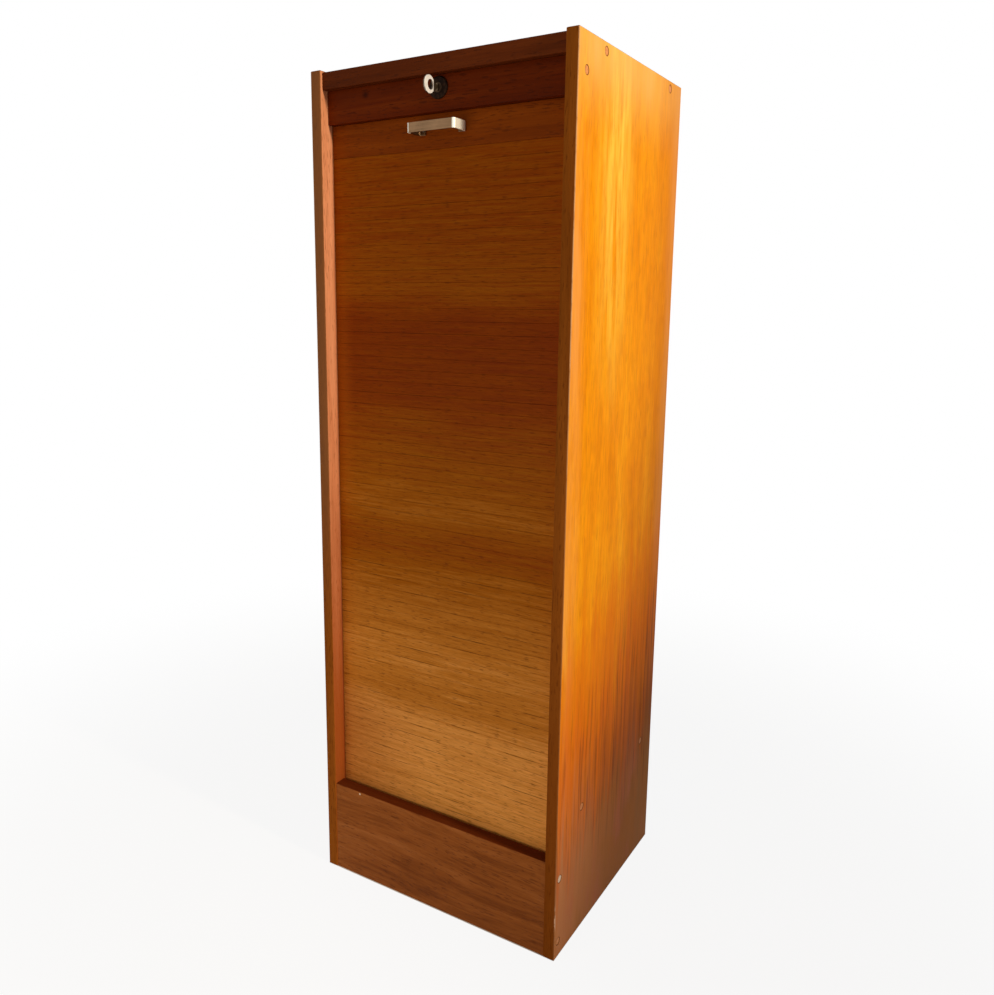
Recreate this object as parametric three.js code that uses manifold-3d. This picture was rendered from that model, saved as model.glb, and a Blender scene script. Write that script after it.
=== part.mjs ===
// Tall narrow tambour door cabinet in teak veneer, all sizes in millimetres, +Z up.
//
// The curtain of slats is pulled down by the handle on its lead rail. Its ends run in a track
// routed in both sides, which goes down the front, turns under the bottom board and climbs behind
// the inner back. The floor carries the two sides; dowels tie the boards between them.
//
// Pieces are drawn with X across, Y as depth behind the front edges of the sides, and Z as height.
// The group that holds them all moves the origin to the middle of the whole object's footprint.

import * as THREE from 'three';
import { mergeVertices } from 'three/addons/utils/BufferGeometryUtils.js';
import Module from 'manifold-3d';

const wasm = await Module();
wasm.setup();

// Case
const caseWidth = 402;
const caseDepth = 351;
const caseHeight = 1200;
const sideThickness = 17;
const sideRound = 1.4;
const sideEase = 0.8;
const boardRound = 0.8;
const glueLine = 0.1;
const topDrop = 2.5;
const topThickness = 22.5;
const topSetback = 4.5;
const lockRailSetback = 15;
const lockRailThickness = 16;
const lockRailHeight = 44;
const plinthHeight = 144;
const plinthThickness = 19;
const plinthSetback = 1.5;
const bottomThickness = 16;
const bottomBoardTop = 201;

// Backs
const outerBackThickness = 5;
const rabbetDepth = 8;
const outerBackFloorGap = 4;
const backClearance = 0.3;
const innerBackThickness = 4;
const innerBackSlotDepth = 4;

// Dowels, with their heights and their depths behind the front edges
const dowelRadius = 5;
const dowelLength = 37;
const dowelSink = 0.3;
const dowelChamfer = 0.6;
const holeClearance = 0.3;
const topDowelDrop = 8;
const boardDowelFrontDepth = 78;
const boardDowelRearInset = 47;
const lockRailDowelDrop = 17.9;
const plinthDowelLowHeight = 23;
const plinthDowelHighDrop = 25;
const plinthDowelInset = 10.5;

// Track and curtain
const curtainSetback = 25;
const slatPitch = 17;
const slatThickness = 7;
const curtainTuck = 45;
const sectionCount = 12;
const sectionGap = 0.1;
const slatNotchWidth = 0.4;
const slatNotchDepth = 0.4;
const canvasThickness = 0.6;
const canvasMargin = 8;
const trackDepth = 6;
const trackClearance = 0.5;
const trackEndClearance = 1;
const trackBendRadius = 40;
const trackFloorHeight = 14;
const trackRearInset = 13;
const trackSpare = 160;
const trackLip = 1;

// Lead rail of the curtain and its handle
const leadRailHeight = 43.7;
const leadRailThickness = 12;
const leadRailProud = 1;
const leadRailSideGap = 0.5;
const leadRailTopGap = 0.3;
const handleWidth = 72.8;
const handleHeight = 12.3;
const handleReach = 29.5;
const handleStrip = 2.2;
const handleBend = 4;
const handleFoot = 11;
const handleDrop = 13.6;
const handleEdge = 0.3;
const handleStopGap = 1.5;
const screwRadius = 2;
const screwHeadRadius = 4;
const screwHeadHeight = 2.4;
const screwClearance = 0.3;

// Lock, its key and the strike on the lead rail
const lockDrop = 15.9;
const rosetteRadius = 14;
const rosetteThickness = 3;
const rosetteRound = 1.6;
const barrelRadius = 9;
const barrelReach = 3.8;
const barrelBore = 6.3;
const nutRadius = 13;
const nutThickness = 3;
const plugRadius = 6;
const plugSink = 0.3;
const plugTail = 2.2;
const keyWidth = 2.2;
const keyEdge = 0.4;
const keyBladeHeight = 7.5;
const keyBladeLength = 22;
const keySlotClearance = 0.3;
const keySlotSpare = 1;
const keyCutDepth = 1.6;
const keyCutWidth = 2;
const keyCutPitch = 4.2;
const keyCutCount = 4;
const keyTipTaper = 2.5;
const keyBowRadius = 11.2;
const keyBowHoleRadius = 6.1;
const keyBowHoleShift = 2.5;
const keyNeckLength = 8.1;
const keyNeckHeight = 3.6;
const keyShoulderWidth = 1.8;
const keyShoulderHeight = 9;
const keySeatGap = 0.3;
const camThickness = 2;
const camGap = 0.3;
const camHubRadius = 8;
const camArmHalfWidth = 4;
const camHookLength = 15;
const camHookHeight = 7;
const rivetRadius = 3.5;
const rivetHeadRadius = 5;
const rivetHeadHeight = 1.4;
const strikeThickness = 2;
const strikeLipReach = 6;
const strikeLipDrop = 2;
const strikeFlangeWidth = 14.5;
const strikeArmClearance = 1.5;
const strikeHookClearance = 2.5;
const strikeLipClearance = 1.6;
const strikeScrewClearance = 1.15;
const strikeHoleRadius = 2;

// Shelves and the pins that carry them
const shelfThickness = 16;
const shelfSetback = 45;
const shelfSideGap = 0.8;
const shelfBackGap = 1;
const shelfCount = 3;
const shelfSeat = 0.2;
const pinRadius = 2.5;
const pinCollarRadius = 4;
const pinCollarWidth = 1.5;
const pinReach = 9;
const pinSeat = 8;
const pinHoleSpare = 0.5;
const pinHoleClearance = 0.3;
const pinRowFrontInset = 37;
const pinRowRearInset = 37;
const pinHoleSpacing = 32;
const pinHoleReach = 1;

// Fineness of round faces and of merging corners, and one overrun for every cut
const arcSteps = 3;
const bendSteps = 8;
const stripBendSteps = 5;
const bowSteps = 20;
const dowelSides = 16;
const pinSides = 10;
const screwSides = 12;
const lockSides = 24;
const nutSides = 6;
const mergeDistance = 1e-5;
const overrun = 2;

// Places worked out from the sizes above
const innerHalf = caseWidth / 2 - sideThickness;
const boardHalf = innerHalf - glueLine;
const topUnderside = caseHeight - topDrop - topThickness;
const lockRailTop = topUnderside - glueLine;
const lockRailBottom = lockRailTop - lockRailHeight;
const lockRailBack = lockRailSetback + lockRailThickness;
const rabbetFront = caseDepth - outerBackThickness;
const trackRearDepth = caseDepth - trackRearInset;
const innerBackRear = trackRearDepth - slatThickness / 2 - trackClearance - innerBackThickness;
const innerBackFront = innerBackRear - innerBackThickness;
const leadTop = lockRailBottom - leadRailTopGap;
const leadBottom = leadTop - leadRailHeight;
const leadFront = curtainSetback - leadRailProud;
const leadBack = leadFront + leadRailThickness;
const trackFrontDepth = curtainSetback + slatThickness / 2;
const trackHalf = slatThickness / 2 + trackClearance;
const trackTop = lockRailBottom + trackLip;
const slatHalfLength = innerHalf + trackDepth - trackEndClearance;
const curtainTop = leadBottom - sectionGap / 2;
const slatCount = Math.ceil((curtainTop - plinthHeight + curtainTuck) / slatPitch);
const curtainBottom = curtainTop - slatCount * slatPitch;
const handleTop = leadTop - handleDrop;
const handleBottom = handleTop - handleHeight;
const handleMiddle = (handleTop + handleBottom) / 2;
const handleScrewPlace = handleWidth / 2 - (handleFoot + handleBend) / 2;
const handleTravel = handleBottom - plinthHeight - handleStopGap;
const trackBendHeight = trackFloorHeight + trackBendRadius;
const trackFrontBend = trackFrontDepth + trackBendRadius;
const trackRearBend = trackRearDepth - trackBendRadius;
const trackBendsLength = trackBendRadius * Math.PI + trackRearBend - trackFrontBend;
const curtainRise = handleTravel - (curtainBottom - trackBendHeight) - trackBendsLength;
const trackRearTop = trackBendHeight + curtainRise + trackSpare;
const rosetteFront = lockRailSetback - rosetteThickness;
const barrelBack = lockRailBack + barrelReach;
const plugFront = rosetteFront + plugSink;
const plugBack = barrelBack + plugTail;
const camFront = plugBack + camGap;
const camBack = camFront + camThickness;
const keyShoulderSeat = rosetteFront - keySeatGap;
const keyBowCentre = keyShoulderSeat - keyNeckLength - keyBowRadius;
const keyReach = keyBowRadius - keyBowCentre;
const dowelInner = caseWidth / 2 - dowelSink - dowelLength;
const compartmentHeight = (topUnderside - bottomBoardTop - shelfCount * shelfThickness) / (shelfCount + 1);
const shelfRear = innerBackFront - shelfBackGap;
const lockHeight = lockRailTop - lockDrop;
const strikeTop = leadTop - strikeLipDrop;
const strikeLipEnd = camArmHalfWidth + strikeArmClearance;
const strikeFlangeStart = camHookLength + strikeHookClearance;
const strikeFlangeEnd = strikeFlangeStart + strikeFlangeWidth;
const camHookTop = lockHeight - strikeTop + strikeThickness + strikeLipClearance;
const camReach = camHookTop + camHookHeight;

const finishes = {
  side: { color: 0xc98238, roughness: 0.42, metalness: 0 },
  frame: { color: 0x6b3519, roughness: 0.45, metalness: 0 },
  plinth: { color: 0x74401f, roughness: 0.5, metalness: 0 },
  curtain: { color: 0x9a5a24, roughness: 0.5, metalness: 0 },
  shelf: { color: 0xb98049, roughness: 0.5, metalness: 0 },
  hardboard: { color: 0x8a6238, roughness: 0.8, metalness: 0 },
  dowel: { color: 0xb0703a, roughness: 0.6, metalness: 0 },
  handle: { color: 0x9c948a, roughness: 0.28, metalness: 1 },
  steel: { color: 0xb9b7b2, roughness: 0.35, metalness: 1 },
  lock: { color: 0x1c1a19, roughness: 0.4, metalness: 0.6 },
  key: { color: 0xd9d3c4, roughness: 0.25, metalness: 1 },
};

function named(name, geometry, finish, place = [0, 0, 0]) {
  const mesh = new THREE.Mesh(geometry, new THREE.MeshStandardMaterial(finishes[finish]));
  mesh.name = name;
  mesh.position.set(...place);
  return mesh;
}

function toSolid(geometry) {
  const bare = geometry.clone();
  bare.deleteAttribute('normal');
  bare.deleteAttribute('uv');
  const merged = mergeVertices(bare, mergeDistance);
  const corners = merged.index.array;
  const whole = [];
  for (let index = 0; index < corners.length; index += 3) {
    const [a, b, c] = corners.slice(index, index + 3);
    if (a !== b && b !== c && c !== a) {
      whole.push(a, b, c);
    }
  }
  return new wasm.Manifold(new wasm.Mesh({
    numProp: 3,
    vertProperties: merged.attributes.position.array,
    triVerts: new Uint32Array(whole),
  }));
}

function toGeometry(solid) {
  const mesh = solid.getMesh();
  const geometry = new THREE.BufferGeometry();
  geometry.setAttribute('position', new THREE.BufferAttribute(mesh.vertProperties, 3));
  geometry.setIndex(new THREE.BufferAttribute(mesh.triVerts, 1));
  geometry.computeVertexNormals();
  return geometry;
}

function cut(geometry, cutters) {
  return toGeometry(cutters.reduce((solid, cutter) => solid.subtract(toSolid(cutter)), toSolid(geometry)));
}

function join(geometries) {
  return toGeometry(geometries.map(toSolid).reduce((whole, solid) => whole.add(solid)));
}

function block([x0, x1], [y0, y1], [z0, z1]) {
  const box = new THREE.BoxGeometry(x1 - x0, y1 - y0, z1 - z0);
  return box.translate((x0 + x1) / 2, (y0 + y1) / 2, (z0 + z1) / 2);
}

// A cylinder along X, from one place to another, centred on a depth and a height.
function rodAlongX(radius, from, to, depth, height, sides) {
  const rod = new THREE.CylinderGeometry(radius, radius, Math.abs(to - from), sides);
  return rod.rotateZ(-Math.PI / 2).translate((from + to) / 2, depth, height);
}

function rodAlongY(radius, from, to, across, height, sides) {
  const rod = new THREE.CylinderGeometry(radius, radius, to - from, sides);
  return rod.translate(across, (from + to) / 2, height);
}

// A turned piece whose axis is depth: its profile is a list of radius and depth.
function turned(profile, sides) {
  const points = profile.map(([radius, depth]) => new THREE.Vector2(radius, depth));
  return new THREE.LatheGeometry(points, sides);
}

function roundedRectangle(x0, x1, y0, y1, radius) {
  const shape = new THREE.Shape();
  shape.absarc(x1 - radius, y0 + radius, radius, -Math.PI / 2, 0);
  shape.absarc(x1 - radius, y1 - radius, radius, 0, Math.PI / 2);
  shape.absarc(x0 + radius, y1 - radius, radius, Math.PI / 2, Math.PI);
  shape.absarc(x0 + radius, y0 + radius, radius, Math.PI, Math.PI * 1.5);
  return shape;
}

// Extrudes an outline of depth and height along X.
function alongX(shape, from, to, curveSegments = arcSteps) {
  const solid = new THREE.ExtrudeGeometry(shape, { depth: to - from, bevelEnabled: false, curveSegments });
  const turn = new THREE.Matrix4().makeBasis(
    new THREE.Vector3(0, 1, 0), new THREE.Vector3(0, 0, 1), new THREE.Vector3(1, 0, 0));
  return solid.applyMatrix4(turn).translate(from, 0, 0);
}

// Extrudes an outline of X and depth upwards, with its top and bottom edges eased.
function upwards(shape, from, to, ease, curveSegments = arcSteps) {
  const solid = new THREE.ExtrudeGeometry(shape, {
    depth: to - from - 2 * ease,
    bevelThickness: ease,
    bevelSize: ease,
    bevelOffset: -ease,
    bevelSegments: 1,
    curveSegments,
  });
  return solid.translate(0, 0, from + ease);
}

// A board between the sides, its long edges eased and its ends left square.
function board([y0, y1], [z0, z1], halfLength = boardHalf) {
  return alongX(roundedRectangle(y0, y1, z0, z1, boardRound), -halfLength, halfLength);
}

// Holes in both ends of a board for dowels at the given depths and heights.
function dowelHoles(places) {
  const radius = dowelRadius + holeClearance;
  const holes = [];
  for (const [depth, height] of places) {
    for (const side of [-1, 1]) {
      const floor = side * (dowelInner - holeClearance);
      const mouth = side * (boardHalf + overrun);
      holes.push(rodAlongX(radius, floor, mouth, depth, height, dowelSides));
    }
  }
  return holes;
}

const boardDowelDepths = [boardDowelFrontDepth, caseDepth - boardDowelRearInset];
const topDowels = boardDowelDepths.map((depth) => [depth, caseHeight - topDrop - topDowelDrop]);
const bottomDowels = boardDowelDepths.map((depth) => [depth, bottomBoardTop - bottomThickness / 2]);
const lockRailDowels = [[lockRailSetback + lockRailThickness / 2, lockRailTop - lockRailDowelDrop]];
const plinthDowels = [plinthHeight - plinthDowelHighDrop, plinthDowelLowHeight].map(
  (height) => [plinthSetback + plinthDowelInset, height]);
const dowelPlaces = {
  top_front: topDowels[0],
  top_rear: topDowels[1],
  lock_rail: lockRailDowels[0],
  bottom_front: bottomDowels[0],
  bottom_rear: bottomDowels[1],
  plinth_high: plinthDowels[0],
  plinth_low: plinthDowels[1],
};
const pinRows = { front: shelfSetback + pinRowFrontInset, rear: shelfRear - pinRowRearInset };

// The track seen from the side, as a closed band round the curtain's middle line. It runs down the
// front, round the lower front bend, to the rear under the bottom board, and up the back.
function trackBand() {
  const outer = trackBendRadius + trackHalf;
  const inner = trackBendRadius - trackHalf;
  const band = new THREE.Shape();
  band.absarc(trackFrontBend, trackBendHeight, outer, Math.PI, Math.PI * 1.5);
  band.absarc(trackRearBend, trackBendHeight, outer, Math.PI * 1.5, Math.PI * 2);
  band.lineTo(trackRearDepth + trackHalf, trackRearTop);
  band.lineTo(trackRearDepth - trackHalf, trackRearTop);
  band.absarc(trackRearBend, trackBendHeight, inner, Math.PI * 2, Math.PI * 1.5, true);
  band.absarc(trackFrontBend, trackBendHeight, inner, Math.PI * 1.5, Math.PI, true);
  band.lineTo(trackFrontDepth + trackHalf, trackTop);
  band.lineTo(trackFrontDepth - trackHalf, trackTop);
  return band;
}

function shelfUnderside(index) {
  return bottomBoardTop + (index + 1) * compartmentHeight + index * shelfThickness;
}

function pinHeight(index) {
  return shelfUnderside(index) - shelfSeat - pinCollarRadius;
}

function pinHoles(side) {
  const radius = pinRadius + pinHoleClearance;
  const floor = side * (innerHalf + pinSeat + pinHoleSpare);
  const mouth = side * (innerHalf - overrun);
  const holes = [];
  for (let shelf = 0; shelf < shelfCount; shelf += 1) {
    for (const depth of Object.values(pinRows)) {
      for (let step = -pinHoleReach; step <= pinHoleReach; step += 1) {
        const height = pinHeight(shelf) + step * pinHoleSpacing;
        holes.push(rodAlongX(radius, mouth, floor, depth, height, pinSides));
      }
    }
  }
  return holes;
}

// One side: the board stands on the floor, and its inner face holds the track, the slot of the
// inner back, the rabbet of the outer back, the dowel holes and the rows of shelf pin holes.
function sidePanel(side) {
  const spread = (from, to) => (side > 0 ? [from, to] : [-to, -from]);
  const [x0, x1] = spread(innerHalf, caseWidth / 2);
  const blank = upwards(roundedRectangle(x0, x1, 0, caseDepth, sideRound), 0, caseHeight, sideEase);
  const [trackStart, trackEnd] = spread(innerHalf - overrun, innerHalf + trackDepth);
  const track = alongX(trackBand(), trackStart, trackEnd, bendSteps);
  const slot = block(
    spread(innerHalf - overrun, innerHalf + innerBackSlotDepth),
    [innerBackFront - backClearance, innerBackRear + backClearance],
    [bottomBoardTop - bottomThickness, topUnderside + backClearance]);
  const rabbet = block(
    spread(innerHalf - overrun, innerHalf + rabbetDepth),
    [rabbetFront, caseDepth + overrun],
    [outerBackFloorGap - backClearance, caseHeight - topDrop + backClearance]);
  const holes = Object.values(dowelPlaces).map(([depth, height]) => rodAlongX(
    dowelRadius + holeClearance, side * (innerHalf - overrun), side * (caseWidth / 2 + overrun),
    depth, height, dowelSides));
  return cut(blank, [track, slot, rabbet, ...holes, ...pinHoles(side)]);
}

function topBoard() {
  const blank = board([topSetback, rabbetFront - glueLine], [topUnderside, caseHeight - topDrop]);
  return cut(blank, dowelHoles(topDowels));
}

function bottomBoard() {
  const blank = board([shelfSetback, innerBackRear], [bottomBoardTop - bottomThickness, bottomBoardTop]);
  return cut(blank, dowelHoles(bottomDowels));
}

function plinth() {
  const blank = board([plinthSetback, plinthSetback + plinthThickness], [0, plinthHeight]);
  return cut(blank, dowelHoles(plinthDowels));
}

// The lock rail closes the front over the curtain and is bored for the lock.
function lockRail() {
  const blank = board([lockRailSetback, lockRailBack], [lockRailBottom, lockRailTop]);
  const bore = rodAlongY(barrelRadius + holeClearance, lockRailSetback - overrun, lockRailBack + overrun,
    0, lockHeight, lockSides);
  return cut(blank, [bore, ...dowelHoles(lockRailDowels)]);
}

function innerBack() {
  const half = innerHalf + innerBackSlotDepth - backClearance;
  const heights = [bottomBoardTop + glueLine, topUnderside - glueLine];
  return block([-half, half], [innerBackFront, innerBackRear], heights);
}

function outerBack() {
  const half = innerHalf + rabbetDepth - backClearance;
  return block([-half, half], [rabbetFront + glueLine, caseDepth], [outerBackFloorGap, caseHeight - topDrop]);
}

// A dowel through the side into a board's end, its outer end just below the veneer.
function dowel(side) {
  const profile = [
    [0, dowelInner],
    [dowelRadius - dowelChamfer, dowelInner],
    [dowelRadius, dowelInner + dowelChamfer],
    [dowelRadius, dowelInner + dowelLength],
    [0, dowelInner + dowelLength],
  ];
  return turned(profile, dowelSides).rotateZ(-side * Math.PI / 2);
}

function dowels() {
  const group = new THREE.Group();
  for (const [side, hand] of [[-1, 'left'], [1, 'right']]) {
    for (const [label, [depth, height]] of Object.entries(dowelPlaces)) {
      group.add(named(`dowel_${label}_${hand}`, dowel(side), 'dowel', [0, depth, height]));
    }
  }
  return group;
}

function carcass() {
  const group = new THREE.Group();
  group.add(
    named('side_left', sidePanel(-1), 'side'),
    named('side_right', sidePanel(1), 'side'),
    named('top_board', topBoard(), 'frame'),
    named('lock_rail', lockRail(), 'frame'),
    named('plinth', plinth(), 'plinth'),
    named('bottom_board', bottomBoard(), 'shelf'),
    named('inner_back', innerBack(), 'hardboard'),
    named('outer_back', outerBack(), 'hardboard'),
    dowels(),
  );
  return group;
}

function shelf(underside) {
  return board([shelfSetback, shelfRear], [underside, underside + shelfThickness], innerHalf - shelfSideGap);
}

// A turned steel pin: its seat in the side, a collar against the inner face, and its round nose.
function shelfPin(side) {
  const profile = [
    [0, innerHalf + pinSeat],
    [pinRadius, innerHalf + pinSeat],
    [pinRadius, innerHalf - glueLine],
    [pinCollarRadius, innerHalf - glueLine],
    [pinCollarRadius, innerHalf - glueLine - pinCollarWidth],
    [pinCollarRadius, innerHalf - pinReach],
    [0, innerHalf - pinReach],
  ];
  return turned(profile.reverse(), pinSides).rotateZ(-side * Math.PI / 2);
}

function shelves() {
  const group = new THREE.Group();
  for (let index = 0; index < shelfCount; index += 1) {
    group.add(named(`shelf_${index + 1}`, shelf(shelfUnderside(index)), 'shelf'));
    for (const [side, hand] of [[-1, 'left'], [1, 'right']]) {
      for (const [row, depth] of Object.entries(pinRows)) {
        const name = `shelf_${index + 1}_pin_${row}_${hand}`;
        group.add(named(name, shelfPin(side), 'steel', [0, depth, pinHeight(index)]));
      }
    }
  }
  return group;
}

// One section of the curtain: slats side by side with a fine V between their faces, glued to a
// canvas that stops short of the track, so that only the slats' ends run in it. Two sections part
// in the middle of such a V.
function curtainSection(index) {
  const slatsAbove = Math.floor((slatCount * index) / sectionCount);
  const slats = Math.floor((slatCount * (index + 1)) / sectionCount) - slatsAbove;
  const firstJoint = curtainTop - slatsAbove * slatPitch;
  const top = firstJoint - sectionGap / 2;
  const bottom = firstJoint - slats * slatPitch + sectionGap / 2;
  const face = curtainSetback;
  const slatBack = face + slatThickness - canvasThickness;
  const outline = new THREE.Shape();
  outline.moveTo(slatBack, top);
  outline.lineTo(face + slatNotchDepth, top);
  for (let slat = 0; slat < slats; slat += 1) {
    const upper = firstJoint - slat * slatPitch;
    const lower = upper - slatPitch;
    outline.lineTo(face, upper - slatNotchWidth / 2);
    outline.lineTo(face, lower + slatNotchWidth / 2);
    outline.lineTo(face + slatNotchDepth, Math.max(lower, bottom));
  }
  outline.lineTo(slatBack, bottom);
  const canvasHalf = innerHalf - canvasMargin;
  const canvas = block([-canvasHalf, canvasHalf], [slatBack, face + slatThickness], [bottom, top]);
  return join([alongX(outline, -slatHalfLength, slatHalfLength), canvas]);
}

// The lead rail is thicker than the slats, and a tongue as thick as they are runs in the track.
function leadRail() {
  const halfLength = innerHalf - leadRailSideGap;
  const body = board([leadFront, leadBack], [leadBottom, leadTop], halfLength);
  const tongue = block([-slatHalfLength, slatHalfLength], [curtainSetback, curtainSetback + slatThickness],
    [leadBottom + boardRound, leadTop - boardRound]);
  return cut(join([body, tongue]), handleScrewHoles(leadFront, leadBack));
}

function handleScrewHoles(front, back) {
  return [-handleScrewPlace, handleScrewPlace].map((across) => rodAlongY(
    screwRadius + screwClearance, front - overrun, back + overrun, across, handleMiddle, screwSides));
}

// The handle is one flat strip bent to a U, with short feet turned in against the lead rail.
function handle() {
  const half = handleWidth / 2;
  const seat = leadFront - glueLine;
  const front = leadFront - handleReach;
  const bendX = half - handleBend;
  const inner = handleBend - handleStrip;
  const toe = half - handleFoot;
  const strip = new THREE.Shape();
  strip.absarc(-bendX, seat - handleBend, handleBend, Math.PI / 2, Math.PI);
  strip.absarc(-bendX, front + handleBend, handleBend, Math.PI, Math.PI * 1.5);
  strip.absarc(bendX, front + handleBend, handleBend, Math.PI * 1.5, Math.PI * 2);
  strip.absarc(bendX, seat - handleBend, handleBend, 0, Math.PI / 2);
  strip.lineTo(toe, seat);
  strip.lineTo(toe, seat - handleStrip);
  strip.absarc(bendX, seat - handleBend, inner, Math.PI / 2, 0, true);
  strip.absarc(bendX, front + handleBend, inner, 0, -Math.PI / 2, true);
  strip.absarc(-bendX, front + handleBend, inner, -Math.PI / 2, -Math.PI, true);
  strip.absarc(-bendX, seat - handleBend, inner, Math.PI, Math.PI / 2, true);
  strip.lineTo(-toe, seat - handleStrip);
  strip.lineTo(-toe, seat);
  const blank = upwards(strip, handleBottom, handleTop, handleEdge, stripBendSteps);
  return cut(blank, handleScrewHoles(seat - handleStrip, seat));
}

// A pan head screw from behind the lead rail into the handle's foot.
function handleScrew() {
  const tip = leadFront - glueLine - handleStrip;
  const under = leadBack + glueLine;
  return turned([
    [0, tip],
    [screwRadius, tip],
    [screwRadius, under],
    [screwHeadRadius, under],
    [screwHeadRadius, under + screwHeadHeight / 2],
    [screwHeadRadius - screwHeadHeight / 2, under + screwHeadHeight],
    [0, under + screwHeadHeight],
  ], screwSides);
}

// The strike is a folded plate on the back of the lead rail. Its flange takes a screw, and its lip
// stands over the place where the lock's hook turns in.
function strike() {
  const seat = leadBack + glueLine;
  const bottom = handleMiddle + screwHeadRadius + strikeScrewClearance;
  const flange = block([-strikeFlangeEnd, -strikeFlangeStart], [seat, seat + strikeThickness],
    [bottom, strikeTop]);
  const lip = block([-strikeFlangeEnd, -strikeLipEnd], [seat, seat + strikeLipReach],
    [strikeTop - strikeThickness, strikeTop]);
  const hole = rodAlongY(strikeHoleRadius, seat - overrun, seat + strikeThickness + overrun,
    -(strikeFlangeStart + strikeFlangeEnd) / 2, (bottom + strikeTop) / 2, screwSides);
  return cut(join([flange, lip]), [hole]);
}

function curtain() {
  const group = new THREE.Group();
  group.add(
    named('lead_rail', leadRail(), 'frame'),
    named('handle', handle(), 'handle'),
    named('strike_plate', strike(), 'steel'),
  );
  for (const [side, hand] of [[-1, 'left'], [1, 'right']]) {
    const place = [side * handleScrewPlace, 0, handleMiddle];
    group.add(named(`handle_screw_${hand}`, handleScrew(), 'steel', place));
  }
  for (let index = 0; index < sectionCount; index += 1) {
    const name = `tambour_section_${String(index + 1).padStart(2, '0')}`;
    group.add(named(name, curtainSection(index), 'curtain'));
  }
  return group;
}

// The lock body is a turned rosette with a barrel through the lock rail, bored for the plug.
function lockBody() {
  const seat = lockRailSetback - glueLine;
  const profile = [[barrelBore, rosetteFront], [rosetteRadius - rosetteRound, rosetteFront]];
  for (let step = 1; step <= arcSteps; step += 1) {
    const angle = (step / arcSteps) * (Math.PI / 2);
    profile.push([
      rosetteRadius - rosetteRound + rosetteRound * Math.sin(angle),
      rosetteFront + rosetteRound - rosetteRound * Math.cos(angle),
    ]);
  }
  profile.push(
    [rosetteRadius, seat],
    [barrelRadius, seat],
    [barrelRadius, barrelBack],
    [barrelBore, barrelBack],
    [barrelBore, rosetteFront],
  );
  return turned(profile, lockSides);
}

// A six-sided nut draws the lock body against the back of the lock rail.
function lockNut() {
  const seat = lockRailBack + glueLine;
  const nut = rodAlongY(nutRadius, seat, seat + nutThickness, 0, 0, nutSides);
  const bore = rodAlongY(barrelRadius + holeClearance, seat - overrun, seat + nutThickness + overrun,
    0, 0, lockSides);
  return cut(nut, [bore]);
}

// The plug turns in the barrel. Its slot takes the key, and its tail is riveted over the cam.
function lockPlug() {
  const rivetSeat = camBack + camGap;
  const core = turned([
    [0, plugFront],
    [plugRadius, plugFront],
    [plugRadius, plugBack],
    [rivetRadius, plugBack],
    [rivetRadius, rivetSeat],
    [rivetHeadRadius, rivetSeat],
    [rivetHeadRadius, rivetSeat + rivetHeadHeight],
    [0, rivetSeat + rivetHeadHeight],
  ], lockSides);
  const halfWidth = keyWidth / 2 + keySlotClearance;
  const halfHeight = keyBladeHeight / 2 + keySlotClearance;
  const slot = block([-halfWidth, halfWidth],
    [plugFront - overrun, keyShoulderSeat + keyBladeLength + keySlotSpare], [-halfHeight, halfHeight]);
  return cut(core, [slot]);
}

// The cam points to the right while the lock is open. Turned down, its hook is under the strike.
function lockCam() {
  const arm = new THREE.Shape();
  const start = Math.acos(camArmHalfWidth / camHubRadius);
  arm.absarc(0, 0, camHubRadius, -start, Math.PI + start);
  arm.lineTo(-camArmHalfWidth, -camHookTop);
  arm.lineTo(-camHookLength, -camHookTop);
  arm.lineTo(-camHookLength, -camReach);
  arm.lineTo(camArmHalfWidth, -camReach);
  const hole = new THREE.Path();
  hole.absarc(0, 0, rivetRadius + holeClearance, 0, Math.PI * 2, true);
  arm.holes.push(hole);
  const plate = new THREE.ExtrudeGeometry(arm, {
    depth: camThickness, bevelEnabled: false, curveSegments: bendSteps });
  return plate.rotateX(Math.PI / 2).translate(0, camBack, 0).rotateY(-Math.PI / 2);
}

// The key: a round bow that tapers to a neck, a shoulder that stops it at the lock, and a blade with
// cuts on one edge.
function keyShape() {
  const half = keyBladeHeight / 2;
  const shoulderStart = keyShoulderSeat - keyShoulderWidth;
  const tip = keyShoulderSeat + keyBladeLength;
  const taperStart = Math.PI / 4;
  const outline = new THREE.Shape();
  outline.absarc(keyBowCentre, 0, keyBowRadius, taperStart, Math.PI * 2 - taperStart);
  outline.lineTo(shoulderStart, -keyNeckHeight / 2);
  outline.lineTo(shoulderStart, -keyShoulderHeight / 2);
  outline.lineTo(keyShoulderSeat, -keyShoulderHeight / 2);
  outline.lineTo(keyShoulderSeat, -half);
  for (let index = 0; index < keyCutCount; index += 1) {
    const middle = keyShoulderSeat + (index + 1) * keyCutPitch;
    outline.lineTo(middle - keyCutWidth / 2, -half);
    outline.lineTo(middle, keyCutDepth - half);
    outline.lineTo(middle + keyCutWidth / 2, -half);
  }
  outline.lineTo(tip - keyTipTaper, -half);
  outline.lineTo(tip, -half / 2);
  outline.lineTo(tip, half / 2);
  outline.lineTo(tip - keyTipTaper, half);
  outline.lineTo(keyShoulderSeat, half);
  outline.lineTo(keyShoulderSeat, keyShoulderHeight / 2);
  outline.lineTo(shoulderStart, keyShoulderHeight / 2);
  outline.lineTo(shoulderStart, keyNeckHeight / 2);
  const hole = new THREE.Path();
  hole.absarc(keyBowCentre + keyBowHoleShift, 0, keyBowHoleRadius, 0, Math.PI * 2, true);
  outline.holes.push(hole);
  return outline;
}

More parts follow.
